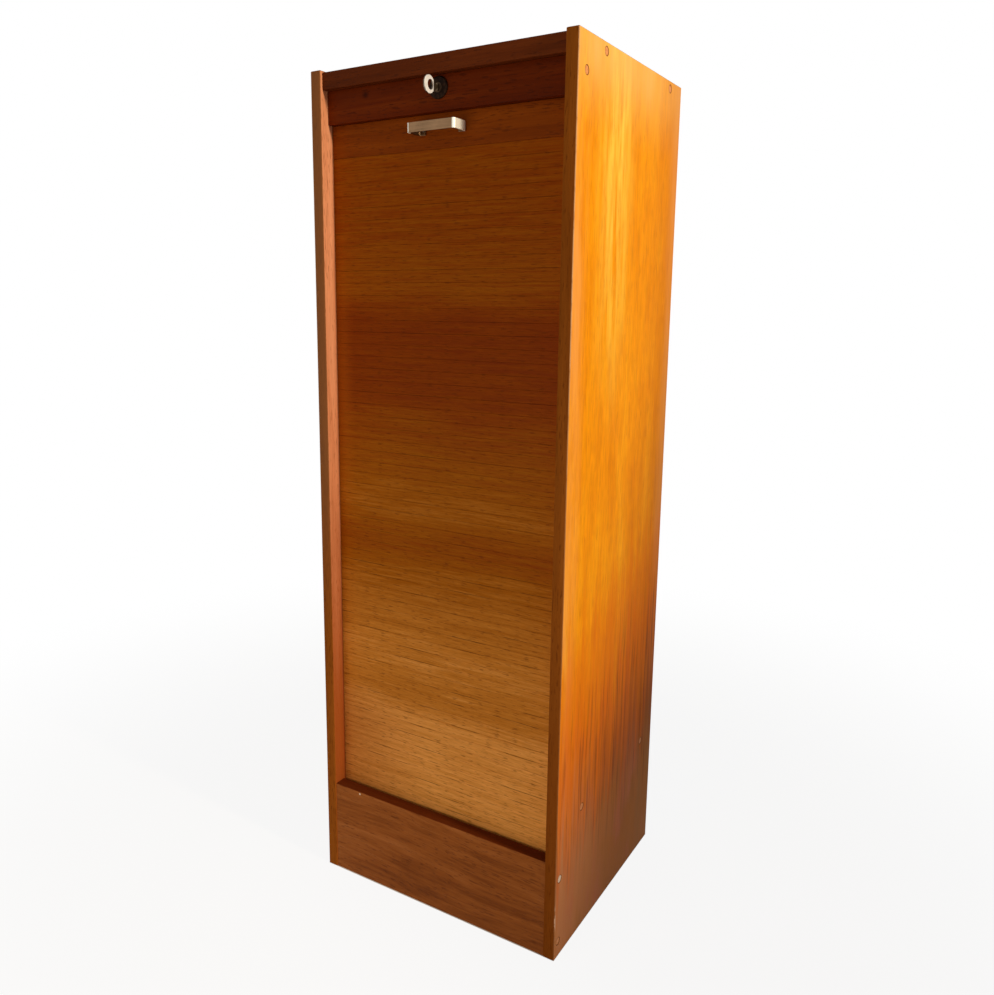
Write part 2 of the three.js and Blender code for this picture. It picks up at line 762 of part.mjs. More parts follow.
function key() {
  const plate = new THREE.ExtrudeGeometry(keyShape(), {
    depth: keyWidth - 2 * keyEdge,
    bevelThickness: keyEdge,
    bevelSize: keyEdge,
    bevelOffset: -keyEdge,
    bevelSegments: 1,
    curveSegments: bowSteps,
  });
  const turn = new THREE.Matrix4().makeBasis(
    new THREE.Vector3(0, 1, 0), new THREE.Vector3(0, 0, 1), new THREE.Vector3(1, 0, 0));
  return plate.applyMatrix4(turn).translate(keyEdge - keyWidth / 2, 0, 0);
}

function lock() {
  const group = new THREE.Group();
  group.position.z = lockHeight;
  group.add(
    named('lock_body', lockBody(), 'lock'),
    named('lock_nut', lockNut(), 'steel'),
    named('lock_plug', lockPlug(), 'steel'),
    named('lock_cam', lockCam(), 'steel'),
    named('key', key(), 'key'),
  );
  return group;
}

const cabinet = new THREE.Group();
cabinet.position.y = (keyReach - caseDepth) / 2;
cabinet.add(carcass(), shelves(), curtain(), lock());

export default cabinet;
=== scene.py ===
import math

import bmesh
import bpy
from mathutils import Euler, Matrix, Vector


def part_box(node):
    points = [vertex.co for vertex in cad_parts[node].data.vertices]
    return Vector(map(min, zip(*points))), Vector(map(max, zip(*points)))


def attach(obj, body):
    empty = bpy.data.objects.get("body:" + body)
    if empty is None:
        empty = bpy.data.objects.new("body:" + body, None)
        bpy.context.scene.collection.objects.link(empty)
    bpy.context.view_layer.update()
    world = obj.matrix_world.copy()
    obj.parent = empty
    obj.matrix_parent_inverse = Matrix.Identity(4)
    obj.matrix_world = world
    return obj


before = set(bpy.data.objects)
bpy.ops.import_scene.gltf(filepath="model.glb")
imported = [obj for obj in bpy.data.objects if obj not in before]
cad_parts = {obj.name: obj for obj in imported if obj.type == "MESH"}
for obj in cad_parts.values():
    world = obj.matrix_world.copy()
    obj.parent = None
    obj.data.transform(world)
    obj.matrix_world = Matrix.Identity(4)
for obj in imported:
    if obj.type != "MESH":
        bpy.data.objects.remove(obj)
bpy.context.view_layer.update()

# Looks, light and camera for the tambour door cabinet, built around its imported CAD model.
# Lengths are metres and angles degrees. Colours are written as red, green and blue from 0 to 255.
# How names end: SHARE is a strength, or a part of a height or depth, from 0 to 1. SPAN is where
# a share is 0 and where it is 1, along a height, a depth or the values of a noise. BAND is how far
# inside a face a share is 0, and how far inside it is 1. NOISE is waves a metre for X, Y and Z,
# octaves and roughness, and SPOTS is a noise with its span.

# Faces of the case and its parts, read from the imported model
CASE_LOW, CASE_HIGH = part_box("side_left")[0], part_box("side_right")[1]
FRONT = CASE_LOW.y
BACK = CASE_HIGH.y
TOP = CASE_HIGH.z
INNER_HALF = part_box("side_right")[0].x
OUTER_HALF = CASE_HIGH.x
PLINTH_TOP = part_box("plinth")[1].z
LEAD_RAIL_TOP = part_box("lead_rail")[1].z
SECTION_LOW, SECTION_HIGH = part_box("tambour_section_01")
CURTAIN_TOP = SECTION_HIGH.z
CURTAIN_FACE = SECTION_LOW.y
CURTAIN_REAR = SECTION_HIGH.y
HANDLE_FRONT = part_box("handle")[0].y
HANDLE_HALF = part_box("handle")[1].x
KEY_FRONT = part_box("key")[0].y
LOCK_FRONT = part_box("lock_body")[0].y

# Camera, solved from the corners of the case in the photograph
IMAGE_WIDTH = 994
IMAGE_HEIGHT = 995
LENS_CENTRE_X = 460
LENS_CENTRE_Y = 465
FOCAL_PIXELS = 881.8
SENSOR_WIDTH = 36
CAMERA_PLACE = (0.6597, -1.1399, 0.8935)
CAMERA_PITCH = 79.433
CAMERA_ROLL = -0.305
CAMERA_TURN = 32.346

# Lamps, sky and floor. Power is in watts.
KEY_LAMP = {"place": (2.4, -0.345, 1.65), "aim": (0.2, -1.0, 1.4), "radius": 0.09, "cone": 77,
            "soft_share": 0.39, "power": 200, "colour": (255, 236, 208)}
NO_KEY_SHADOW = ("handle", "handle_screw_left", "handle_screw_right", "key")
FRONT_LAMP = {"place": (-0.5, -2.2, 0.45), "aim": (0, 0, 0.3), "size": (1.6, 0.8), "power": 11,
              "colour": (255, 240, 220)}
WHITE = (255, 255, 255)
SKY_COLOUR = (255, 246, 234)
SKY_STRENGTH = 0.26
FLOOR_COLOUR = (238, 236, 232)
FLOOR_ROUGHNESS = 0.9
FLOOR_WHITE_NEAR_SHARE = 0.9
FLOOR_WHITE_START = 0.5
FLOOR_WHITE_END = 1.6
FLOOR_HALF = 6.0

# Sharpest angle between two faces that still shades as one round surface, and how close two
# corners of triangles are where they are one point
ROUND_ANGLE = 32
MERGE_DISTANCE = 1e-5

# Boards whose sharp edges are eased, how far, and from which angle between two faces
EASED_NODES = ("side_left", "side_right", "top_board", "lock_rail", "lead_rail", "plinth",
               "shelf_1", "shelf_2", "shelf_3", "bottom_board")
ARRIS_WIDTH = 0.0007
ARRIS_ANGLE = 60


def paint(colour):
    """The linear colour, with alpha, of a red, green and blue from 0 to 255."""
    shares = [part / 255 for part in colour]
    linear = [s / 12.92 if s <= 0.04045 else ((s + 0.055) / 1.055) ** 2.4 for s in shares]
    return (*linear, 1.0)


class Graph:
    """A node tree, with short calls for the nodes that materials and the world share."""

    def __init__(self, node_tree):
        self.nodes = node_tree.nodes
        self.links = node_tree.links

    def put(self, socket, value):
        """Links an output to a socket, or sets the socket to a plain value."""
        if isinstance(value, bpy.types.NodeSocket):
            self.links.new(value, socket)
        else:
            socket.default_value = value

    def math(self, operation, first, second=0.0):
        node = self.nodes.new("ShaderNodeMath")
        node.operation = operation
        self.put(node.inputs[0], first)
        self.put(node.inputs[1], second)
        return node.outputs[0]

    def product(self, first, *others):
        """The first value times all the others."""
        for other in others:
            first = self.math("MULTIPLY", first, other)
        return first

    def largest(self, first, *others):
        for other in others:
            first = self.math("MAXIMUM", first, other)
        return first

    def seen_share(self):
        """1 for rays that come from the camera, a mirror or clear material, and 0 for light."""
        path = self.nodes.new("ShaderNodeLightPath").outputs
        return self.largest(path["Is Camera Ray"], path["Is Glossy Ray"], path["Is Transmission Ray"])

    def show(self, output, share, first, second):
        """Sends two shaders, mixed by a share, to an output node."""
        choice = self.nodes.new("ShaderNodeMixShader")
        self.put(choice.inputs[0], share)
        self.links.new(first.outputs[0], choice.inputs[1])
        self.links.new(second.outputs[0], choice.inputs[2])
        self.links.new(choice.outputs[0], self.nodes[output].inputs["Surface"])


class Tree(Graph):
    """The node tree of one new material, around its Principled shader."""

    def __init__(self, name):
        self.material = bpy.data.materials.new(name)
        self.material.use_nodes = True
        super().__init__(self.material.node_tree)
        self.shader = self.nodes["Principled BSDF"]
        self.coordinates = self.nodes.new("ShaderNodeTexCoord").outputs
        self.place = self.coordinates["Object"]
        self.apart = self.split(self.place)

    def split(self, vector):
        """The X, Y and Z of a vector, by name."""
        node = self.nodes.new("ShaderNodeSeparateXYZ")
        self.links.new(vector, node.inputs[0])
        return node.outputs

    def axis(self, name):
        """One coordinate of the object's own space: X, Y or Z."""
        return self.apart[name]

    def set(self, **inputs):
        """Sets or links sockets of the Principled shader; an underscore stands for a space."""
        for key, value in inputs.items():
            self.put(self.shader.inputs[key.replace("_", " ")], value)

    def vector(self, operation, first, second):
        node = self.nodes.new("ShaderNodeVectorMath")
        node.operation = operation
        self.put(node.inputs[0], first)
        self.put(node.inputs[1], second)
        return node.outputs[0]

    def from_middle(self):
        """The distance from the plane between the two sides."""
        return self.math("ABSOLUTE", self.axis("X"))

    def away(self, **centre):
        """The distance from a centre that two coordinates give, such as Y=0.1 and Z=1.2."""
        total = 0.0
        for axis, middle in centre.items():
            offset = self.math("SUBTRACT", self.axis(axis), middle)
            total = self.math("ADD", self.product(offset, offset), total)
        return self.math("SQRT", total)

    def noise(self, scale, octaves, roughness, place=None):
        """Noise from 0 to 1, with one scale in waves a metre for each axis."""
        node = self.nodes.new("ShaderNodeTexNoise")
        node.inputs["Scale"].default_value = 1.0
        node.inputs["Detail"].default_value = octaves
        node.inputs["Roughness"].default_value = roughness
        self.links.new(self.vector("MULTIPLY", place or self.place, scale), node.inputs["Vector"])
        return node.outputs["Fac"]

    def swing(self, noise, amount):
        """A noise moved to swing about zero, times an amount."""
        return self.product(self.math("SUBTRACT", noise, 0.5), amount)

    def step(self, value, low, high, smooth=True):
        """A share that goes from 0 where value is low to 1 where it is high."""
        node = self.nodes.new("ShaderNodeMapRange")
        node.interpolation_type = "SMOOTHSTEP" if smooth else "LINEAR"
        self.put(node.inputs["Value"], value)
        node.inputs["From Min"].default_value = low
        node.inputs["From Max"].default_value = high
        return node.outputs["Result"]

    def near(self, value, centre, half):
        """A share that is 1 where value is at the centre and 0 from half away."""
        offset = self.math("ABSOLUTE", self.math("SUBTRACT", value, centre))
        return self.step(offset, half, 0.0)

    def above(self, value, face, band):
        """A share that is 1 at the lower face of something and fades out above it, by a band."""
        start, full = band
        return self.step(value, face + start, face + full)

    def below(self, value, face, band):
        """A share that is 1 at the upper face of something and fades out below it, by a band."""
        start, full = band
        return self.step(value, face - start, face - full)

    def spots(self, scale, octaves, roughness, low, high, place=None):
        """Patches of a noise, from 0 where it is low to 1 where it is high."""
        return self.step(self.noise(scale, octaves, roughness, place), low, high)

    def mix(self, share, first, second, blend="MIX"):
        node = self.nodes.new("ShaderNodeMix")
        node.data_type = "RGBA"
        node.blend_type = blend
        self.put(node.inputs["Factor"], share)
        self.put(node.inputs[6], first)
        self.put(node.inputs[7], second)
        return node.outputs[2]

    def stain(self, colour, over, share):
        """A colour with another laid over it by a share."""
        return self.mix(share, colour, paint(over))

    def color_ramp(self, value, stops, interpolation):
        """A ramp by value, from stops of (place, linear colour)."""
        node = self.nodes.new("ShaderNodeValToRGB")
        node.color_ramp.interpolation = interpolation
        elements = node.color_ramp.elements
        while len(elements) < len(stops):
            elements.new(0.5)
        for element, (place, colour) in zip(elements, stops):
            element.position = place
            element.color = colour
        self.put(node.inputs["Fac"], value)
        return node.outputs["Color"]

    def ramp(self, value, stops):
        """A colour by value, from stops of (place, colour)."""
        return self.color_ramp(value, [(place, paint(colour)) for place, colour in stops], "LINEAR")

    def curve(self, value, stops):
        """A number by value, smooth between stops of (place, number)."""
        greys = [(place, (number, number, number, 1)) for place, number in stops]
        return self.color_ramp(value, greys, "EASE")

    def bump(self, height, distance):
        node = self.nodes.new("ShaderNodeBump")
        node.inputs["Strength"].default_value = 1.0
        node.inputs["Distance"].default_value = distance
        self.put(node.inputs["Height"], height)
        self.put(self.shader.inputs["Normal"], node.outputs["Normal"])


# Wood in general. A scale for wood is waves a metre across and along the fibres, and a detail is
# a noise's octaves and roughness.
WANDER = 0.02
WANDER_SCALE = (5.0, 2.2)
WANDER_DETAIL = (2.0, 0.5)
FIGURE_SCALE = (16.0, 1.3)
FIGURE_DETAIL = (4.0, 0.55)
FIGURE_SHARE = 0.62
STREAK_SCALE = (150.0, 4.5)
STREAK_DETAIL = (3.0, 0.6)
TONE_CONTRAST = 1.6
TONE_PLACES = (0.22, 0.5, 0.8)
FIBRE_SCALE = (850.0, 32.0)
FIBRE_DETAIL = (2.0, 0.5)
FIBRE_SHADES = [(0.3, 0.86), (0.5, 1.0), (0.7, 1.12)]
FIBRE_SHARE = 0.7
FIBRE_RELIEF_SHARE = 0.4
PORE_SCALE = (620.0, 75.0)
PORE_DETAIL = (1.0, 0.4)
PORE_SPAN = (0.6, 0.7)
PORE_SHARE = 0.55
CROWD_SCALE = (30.0, 6.0)
CROWD_DETAIL = (2.0, 0.5)
CROWD_SHARE = 0.25
VARNISH_IOR = 1.46
VARNISH_GLOSS = 0.04
VARNISH_ROUGHNESS = 0.42
VARNISH_SWING = 0.16
GRAIN_DEPTH = 0.00012


def stretched(grain, across, along):
    """Noise scales for wood whose fibres run along the grain axis, X, Y or Z."""
    return tuple(along if axis == grain else across for axis in "XYZ")


def waved(tree, grain, amount=WANDER, scale=WANDER_SCALE):
    """The object's coordinates, pushed gently sideways so that the fibres wander."""
    push = tree.swing(tree.noise(stretched(grain, *scale), *WANDER_DETAIL), amount)
    joined = tree.nodes.new("ShaderNodeCombineXYZ")
    for axis in "XYZ":
        if axis != grain:
            tree.links.new(push, joined.inputs[axis])
    return tree.vector("ADD", tree.place, joined.outputs[0])


def wood(tree, grain, palette, figure=FIGURE_SCALE, streak=STREAK_SCALE, fibre=FIBRE_SCALE,
         pore=PORE_SCALE, pore_share=PORE_SHARE, contrast=1.0, wander=WANDER):
    """The colour of varnished veneer, its relief and its streaks: broad figure, fine streaks,
    fibres and dark pores. palette holds the dark, middle and light wood and the pore."""
    *tones, hollow = palette
    place = waved(tree, grain, wander)
    broad = tree.noise(stretched(grain, *figure), *FIGURE_DETAIL, place)
    fine = tree.noise(stretched(grain, *streak), *STREAK_DETAIL, place)
    hair = tree.noise(stretched(grain, *fibre), *FIBRE_DETAIL, place)
    body = tree.math("ADD", tree.product(broad, FIGURE_SHARE), tree.product(fine, 1 - FIGURE_SHARE))
    tone = tree.math("ADD", tree.swing(body, TONE_CONTRAST * contrast), 0.5)
    colour = tree.ramp(tone, list(zip(TONE_PLACES, tones)))
    colour = tree.mix(FIBRE_SHARE, colour, tree.curve(hair, FIBRE_SHADES), "MULTIPLY")
    pores = pore_spots(tree, grain, pore, place)
    colour = tree.stain(colour, hollow, tree.product(pores, pore_share))
    relief = tree.math("SUBTRACT", tree.product(hair, FIBRE_RELIEF_SHARE), pores)
    return colour, relief, fine


def pore_spots(tree, grain, scale, place):
    """Short dark ticks along the fibres, closer together in some parts than in others."""
    ticks = tree.noise(stretched(grain, *scale), *PORE_DETAIL, place)
    crowd = tree.noise(stretched(grain, *CROWD_SCALE), *CROWD_DETAIL)
    return tree.step(tree.math("ADD", ticks, tree.swing(crowd, CROWD_SHARE)), *PORE_SPAN)


def varnish(tree, colour, relief, sheen, roughness=VARNISH_ROUGHNESS, gloss=VARNISH_GLOSS):
    """A satin varnish over wood: even gloss with a trace of the fibres."""
    rough = tree.math("ADD", tree.swing(sheen, VARNISH_SWING), roughness)
    tree.set(Base_Color=colour, Roughness=rough, IOR=VARNISH_IOR, Specular_IOR_Level=gloss)
    tree.bump(relief, GRAIN_DEPTH)
    return tree.material


# Sides: the golden wood of the outer faces, the stains over it, painted light high up and painted shade at
# the upper rear
SIDE_PALETTE = ((222, 128, 8), (239, 151, 13), (248, 172, 28), (190, 98, 4))
SIDE_GRAIN = {"figure": (24.0, 4.0), "streak": (130.0, 12.0), "fibre": (520.0, 40.0),
              "pore": (420.0, 42.0), "pore_share": 0.32, "contrast": 0.8}
SIDE_GLOSS = 0.009
SAP_COLOUR = (255, 212, 82)
SAP_CENTRE_SHARE = 0.35
SAP_HALF_SHARE = 0.21
SAP_HEIGHT_SPAN = (0.55, 0.9)
SAP_SPOTS = ((0, 62.0, 5.5), 4.0, 0.6, 0.34, 0.62)
SIDE_FLECK_COLOUR = (208, 112, 6)
SIDE_FLECK_SPOTS = ((0, 330.0, 42.0), 2.0, 0.55, 0.56, 0.7)
SIDE_FLECK_CROWD_SPOTS = ((0, 22.0, 7.0), 3.0, 0.6, 0.38, 0.66)
SIDE_FLECK_SHARE = 0.5
MOTTLE_SPOTS = ((0, 52.0, 19.0), 3.0, 0.6, 0.46, 0.72)
MOTTLE_SHARE = 0.3
SIDE_PINK = (244, 167, 84)
PINK_EDGE_BAND = (0.05, 0.004)
PINK_TOP_BAND = (0.07, 0.01)
PINK_SPOTS = ((0, 26.0, 4.0), 3.0, 0.6, 0.3, 0.75)
# Painted light: the top tenth of each side is painted paler, as where the light falls brightest.
TOP_PAINTED_LIGHT_COLOUR = (255, 218, 130)
TOP_PAINTED_LIGHT_HEIGHT_SPAN = (0.9, 1.0)
TOP_PAINTED_LIGHT_SHARE = 0.35
# Painted shade: the upper rear of each side is painted darker, as the light falls off towards the back.
REAR_PAINTED_SHADE_COLOUR = (190, 100, 20)
REAR_PAINTED_SHADE_BACK_SPAN = (0.6, 1.0)
REAR_PAINTED_SHADE_HEIGHT_SPAN = (0.35, 0.55)
REAR_PAINTED_SHADE_SHARE = 0.38

# Sides: the foot painted duller and browner as painted shade, the deep orange band painted along the edge
# of that shade, and the dark streaks that cross both
# Painted shade: the foot of each side is painted duller and browner, rising towards the rear.
FOOT_SHADE_FRONT_COLOUR = (206, 136, 90)
FOOT_SHADE_REAR_COLOUR = (182, 109, 42)
FOOT_BACK_SPAN = (0.0, 0.75)
FOOT_CLOUD_NOISE = ((0, 15.0, 4.0), 3.0, 0.6)
FOOT_CLOUD_SHARE = 0.5
FOOT_PINK = (206, 116, 88)
FOOT_PINK_SPAN = (0.52, 0.68)
FOOT_OLIVE = (158, 104, 36)
FOOT_OLIVE_SPAN = (0.48, 0.34)
# Painted shade: the upper rear part of the foot is painted darker orange-brown.
FOOT_SHADE_UPPER_COLOUR = (160, 78, 0)
FOOT_SHADE_UPPER_HEIGHT_SPAN = (0.1, 0.22)
FOOT_SHADE_UPPER_BACK_SPAN = (0.12, 0.5)
FOOT_SHADE_UPPER_SHARE = 0.85
FOOT_SLOPE_SHARE = 0.12
FOOT_THREAD_NOISE = ((0, 85.0, 2.2), 4.0, 0.6)
FOOT_THREAD_SHARE = 0.3
FOOT_RISE_SPAN = (0.26, 0.08)
FOOT_SHADE_SHARE = 0.9
# A deep orange band painted along the edge of the foot's painted shade.
SHADE_EDGE_COLOUR = (228, 98, 4)
SHADE_EDGE_RISE_SHARES = [(0.05, 0.0), (0.14, 0.4), (0.22, 0.62), (0.3, 0.42), (0.4, 0.0)]
DARK_STREAK_COLOUR = (102, 40, 0)
DARK_STREAK_SPOTS = ((0, 150.0, 6.5), 4.0, 0.62, 0.47, 0.7)
DARK_STREAK_WANDER = 0.012
DARK_STREAK_WANDER_SCALE = (9.0, 7.0)
DARK_STREAK_SLOPE_SHARE = 0.14
DARK_STREAK_TOP_SPAN = (0.33, 0.2)
DARK_STREAK_FOOT_SPAN = (0.04, 0.16)
DARK_STREAK_SHARE = 0.55

# Sides: the salmon inner faces with their painted shade, the solid edges, the painted highlight on the
# arrises, the painted shade round the plugs, and chips
INNER_PALETTE = ((194, 118, 76), (224, 148, 104), (240, 168, 124), (162, 92, 54))
INNER_BAND = (0.0008, 0.0002)
# Painted shade: the inner faces are painted browner and darker low down.
INNER_LOW_SHADE_COLOUR = (158, 76, 12)
INNER_LOW_SHADE_HEIGHT_SPAN = (0.62, 0.18)
INNER_LOW_SHADE_SHARE = 0.9
# Painted shade: a dark line on the inner face where it meets the curtain.
CURTAIN_MEET_SHADE_COLOUR = (110, 44, 14)
CURTAIN_MEET_SHADE_REACH = 0.0045
CURTAIN_MEET_SHADE_SHARE = 0.75
EDGE_PALETTE = ((122, 64, 16), (147, 81, 23), (160, 93, 32), (98, 47, 11))
EDGE_CONTRAST = 0.8
EDGE_BAND = (0.0012, 0.0004)
EDGE_LEFT_COLOUR = (138, 98, 68)
EDGE_LEFT_HEIGHT_SPAN = (0.3, 0.6)
EDGE_LOW_COLOUR = (112, 54, 12)
EDGE_LOW_HEIGHT_SPAN = (0.5, 0.25)
EDGE_STAIN_SHARE = 0.5
# Painted highlight: a pale line along the front outer arrises.
ARRIS_HIGHLIGHT_COLOUR = (246, 194, 138)
ARRIS_HIGHLIGHT_SIDE_BAND = (0.0016, 0.0008)
ARRIS_HIGHLIGHT_FRONT_BAND = (0.0018, 0.0008)
ARRIS_HIGHLIGHT_SPOTS = ((0, 0, 38.0), 3.0, 0.6, 0.15, 0.55)
ARRIS_HIGHLIGHT_HEIGHT_SPAN = (0.4, 0.8)
ARRIS_HIGHLIGHT_LOW_SHARE = 0.12
ARRIS_HIGHLIGHT_HIGH_SHARE = 0.45
# Painted shade: a thin dark ring round each plug, for the shade in the gap round it.
DOWEL_GAP_SHADE_COLOUR = (120, 62, 16)
DOWEL_GAP_SHADE_BAND = (0.002, 0.001)
DOWEL_GAP_SHADE_OFFSET = 0.0003
DOWEL_GAP_SHADE_HALF = 0.0012
CHIP_COLOUR = (232, 190, 158)
CHIP_FRONT_BAND = (0.0034, 0.0018)
CHIP_SIDE_BAND = (0.0012, 0.0004)
CHIP_HEIGHT = 0.058
CHIP_HALF_HEIGHT = 0.034
CHIP_SPOTS = ((0, 240.0, 90.0), 3.0, 0.6, 0.47, 0.53)


def side_veneer():
    """Veneered side boards: golden outside, darker solid edges, salmon inner face."""
    tree = Tree("side_veneer")
    back = tree.step(tree.axis("Y"), FRONT, BACK, smooth=False)
    height = tree.step(tree.axis("Z"), 0.0, TOP, smooth=False)
    colour, relief, fine = wood(tree, "Z", SIDE_PALETTE, **SIDE_GRAIN)
    colour = outer_face(tree, colour, back, height)
    inner = tree.above(tree.from_middle(), INNER_HALF, INNER_BAND)
    colour = tree.mix(inner, colour, inner_face(tree, height))
    colour = tree.mix(edge_share(tree), colour, edge_wood(tree, height))
    # Painted highlight along the front outer arrises.
    colour = tree.stain(colour, ARRIS_HIGHLIGHT_COLOUR, arris_highlight_share(tree, height))
    # Painted shade round each plug.
    colour = tree.stain(colour, DOWEL_GAP_SHADE_COLOUR, dowel_gap_shade_share(tree))
    colour = tree.stain(colour, CHIP_COLOUR, chip_share(tree))
    return varnish(tree, colour, relief, fine, gloss=SIDE_GLOSS)


def outer_face(tree, colour, back, height):
    """The golden wood with its stains, painted light at the top and painted shade at the upper rear and
    the foot, by the depth and the height from 0 to 1.
    """
    colour = tree.stain(colour, SAP_COLOUR, sap_share(tree, back, height))
    colour = tree.stain(colour, SIDE_FLECK_COLOUR, side_fleck_share(tree))
    colour = tree.stain(colour, SIDE_PINK, pink_share(tree))
    # Painted light: paler at the top.
    top_light = tree.product(tree.step(height, *TOP_PAINTED_LIGHT_HEIGHT_SPAN), TOP_PAINTED_LIGHT_SHARE)
    colour = tree.stain(colour, TOP_PAINTED_LIGHT_COLOUR, top_light)
    # Painted shade: darker at the upper rear.
    rear_shade = tree.product(tree.step(back, *REAR_PAINTED_SHADE_BACK_SPAN), tree.step(height, *REAR_PAINTED_SHADE_HEIGHT_SPAN),
                        REAR_PAINTED_SHADE_SHARE)
    colour = tree.stain(colour, REAR_PAINTED_SHADE_COLOUR, rear_shade)
    # Painted shade at the foot, and the orange band painted along its edge.
    foot, shade_edge = foot_shade_shares(tree, back, height)
    colour = tree.mix(foot, colour, foot_shade_tone(tree, back, height))
    colour = tree.stain(colour, SHADE_EDGE_COLOUR, shade_edge)
    return tree.stain(colour, DARK_STREAK_COLOUR, dark_streak_share(tree, back, height))


def sap_share(tree, back, height):
    """Pale sapwood streaks about a third back, fading out downwards."""
    band = tree.near(back, SAP_CENTRE_SHARE, SAP_HALF_SHARE)
    return tree.product(band, tree.spots(*SAP_SPOTS), tree.step(height, *SAP_HEIGHT_SPAN))


def side_fleck_share(tree):
    """Short darker flecks along the fibres, in loose crowds, and a cloudy mottle between them."""
    flecks = tree.product(tree.spots(*SIDE_FLECK_SPOTS), tree.spots(*SIDE_FLECK_CROWD_SPOTS),
                          SIDE_FLECK_SHARE)
    return tree.largest(flecks, tree.product(tree.spots(*MOTTLE_SPOTS), MOTTLE_SHARE))


def pink_share(tree):
    """A warmer, pinker wood along the front, top and rear edges of a side."""
    front = tree.above(tree.axis("Y"), FRONT, PINK_EDGE_BAND)
    rear = tree.below(tree.axis("Y"), BACK, PINK_EDGE_BAND)
    top = tree.below(tree.axis("Z"), TOP, PINK_TOP_BAND)
    return tree.product(tree.largest(front, rear, top), tree.spots(*PINK_SPOTS))


def foot_shade_shares(tree, back, height):
    """The painted shade at the foot, and the deep orange band painted along its upper edge, higher up at
    the rear.
    """
    slope = tree.math("SUBTRACT", height, tree.product(back, FOOT_SLOPE_SHARE))
    rise = tree.math("ADD", slope, tree.swing(tree.noise(*FOOT_THREAD_NOISE), FOOT_THREAD_SHARE))
    foot = tree.product(tree.step(rise, *FOOT_RISE_SPAN), FOOT_SHADE_SHARE)
    return foot, tree.curve(rise, SHADE_EDGE_RISE_SHARES)


def foot_shade_tone(tree, back, height):
    """The colour of the foot's painted shade: browner to the rear, clouded pink and olive, and darker
    orange-brown in its upper part towards the rear.
    """
    tone = tree.mix(tree.step(back, *FOOT_BACK_SPAN), paint(FOOT_SHADE_FRONT_COLOUR), paint(FOOT_SHADE_REAR_COLOUR))
    cloud = tree.noise(*FOOT_CLOUD_NOISE)
    for colour, span in ((FOOT_PINK, FOOT_PINK_SPAN), (FOOT_OLIVE, FOOT_OLIVE_SPAN)):
        tone = tree.stain(tone, colour, tree.product(tree.step(cloud, *span), FOOT_CLOUD_SHARE))
    upper_shade = tree.product(tree.step(height, *FOOT_SHADE_UPPER_HEIGHT_SPAN), tree.step(back, *FOOT_SHADE_UPPER_BACK_SPAN),
                         FOOT_SHADE_UPPER_SHARE)
    return tree.stain(tone, FOOT_SHADE_UPPER_COLOUR, upper_shade)


def dark_streak_share(tree, back, height):
    """Dark brown streaks up the fibres in the lower part, reaching higher towards the rear."""
    place = waved(tree, "Z", DARK_STREAK_WANDER, DARK_STREAK_WANDER_SCALE)
    slope = tree.math("SUBTRACT", height, tree.product(back, DARK_STREAK_SLOPE_SHARE))
    reach = tree.step(slope, *DARK_STREAK_TOP_SPAN)
    fade = tree.step(height, *DARK_STREAK_FOOT_SPAN)
    return tree.product(tree.spots(*DARK_STREAK_SPOTS, place), reach, fade, DARK_STREAK_SHARE)


def inner_face(tree, height):
    """Salmon wood, painted browner and darker low down as painted shade, with a dark line painted as shade
    where the track's lip meets the curtain.
    """
    colour = wood(tree, "Z", INNER_PALETTE)[0]
    # Painted shade: darker low down.
    low = tree.product(tree.step(height, *INNER_LOW_SHADE_HEIGHT_SPAN), INNER_LOW_SHADE_SHARE)
    colour = tree.stain(colour, INNER_LOW_SHADE_COLOUR, low)
    # Painted shade where the inner face meets the curtain.
    meet_shade = tree.product(tree.near(tree.axis("Y"), CURTAIN_FACE, CURTAIN_MEET_SHADE_REACH), CURTAIN_MEET_SHADE_SHARE)
    return tree.stain(colour, CURTAIN_MEET_SHADE_COLOUR, meet_shade)


def edge_share(tree):
    """The front, rear and top edges of a side."""
    front = tree.above(tree.axis("Y"), FRONT, EDGE_BAND)
    rear = tree.below(tree.axis("Y"), BACK, EDGE_BAND)
    top = tree.below(tree.axis("Z"), TOP, EDGE_BAND)
    return tree.largest(front, rear, top)


def edge_wood(tree, height):
    """Solid lippings: greyer high up on the left side, darker low down on the right side."""
    colour = wood(tree, "Z", EDGE_PALETTE, contrast=EDGE_CONTRAST)[0]
    left = tree.step(tree.axis("X"), 0.0, -INNER_HALF)
    left_high = tree.product(left, tree.step(height, *EDGE_LEFT_HEIGHT_SPAN), EDGE_STAIN_SHARE)
    colour = tree.stain(colour, EDGE_LEFT_COLOUR, left_high)
    right = tree.step(tree.axis("X"), 0.0, INNER_HALF)
    right_low = tree.product(right, tree.step(height, *EDGE_LOW_HEIGHT_SPAN), EDGE_STAIN_SHARE)
    return tree.stain(colour, EDGE_LOW_COLOUR, right_low)


def arris_highlight_share(tree, height):
    """A painted highlight along the front outer arrises, strongest high up."""
    outside = tree.below(tree.from_middle(), OUTER_HALF, ARRIS_HIGHLIGHT_SIDE_BAND)
    front = tree.above(tree.axis("Y"), FRONT, ARRIS_HIGHLIGHT_FRONT_BAND)
    high = tree.product(tree.step(height, *ARRIS_HIGHLIGHT_HEIGHT_SPAN), ARRIS_HIGHLIGHT_HIGH_SHARE)
    strength = tree.math("ADD", high, ARRIS_HIGHLIGHT_LOW_SHARE)
    return tree.product(outside, front, tree.spots(*ARRIS_HIGHLIGHT_SPOTS), strength)


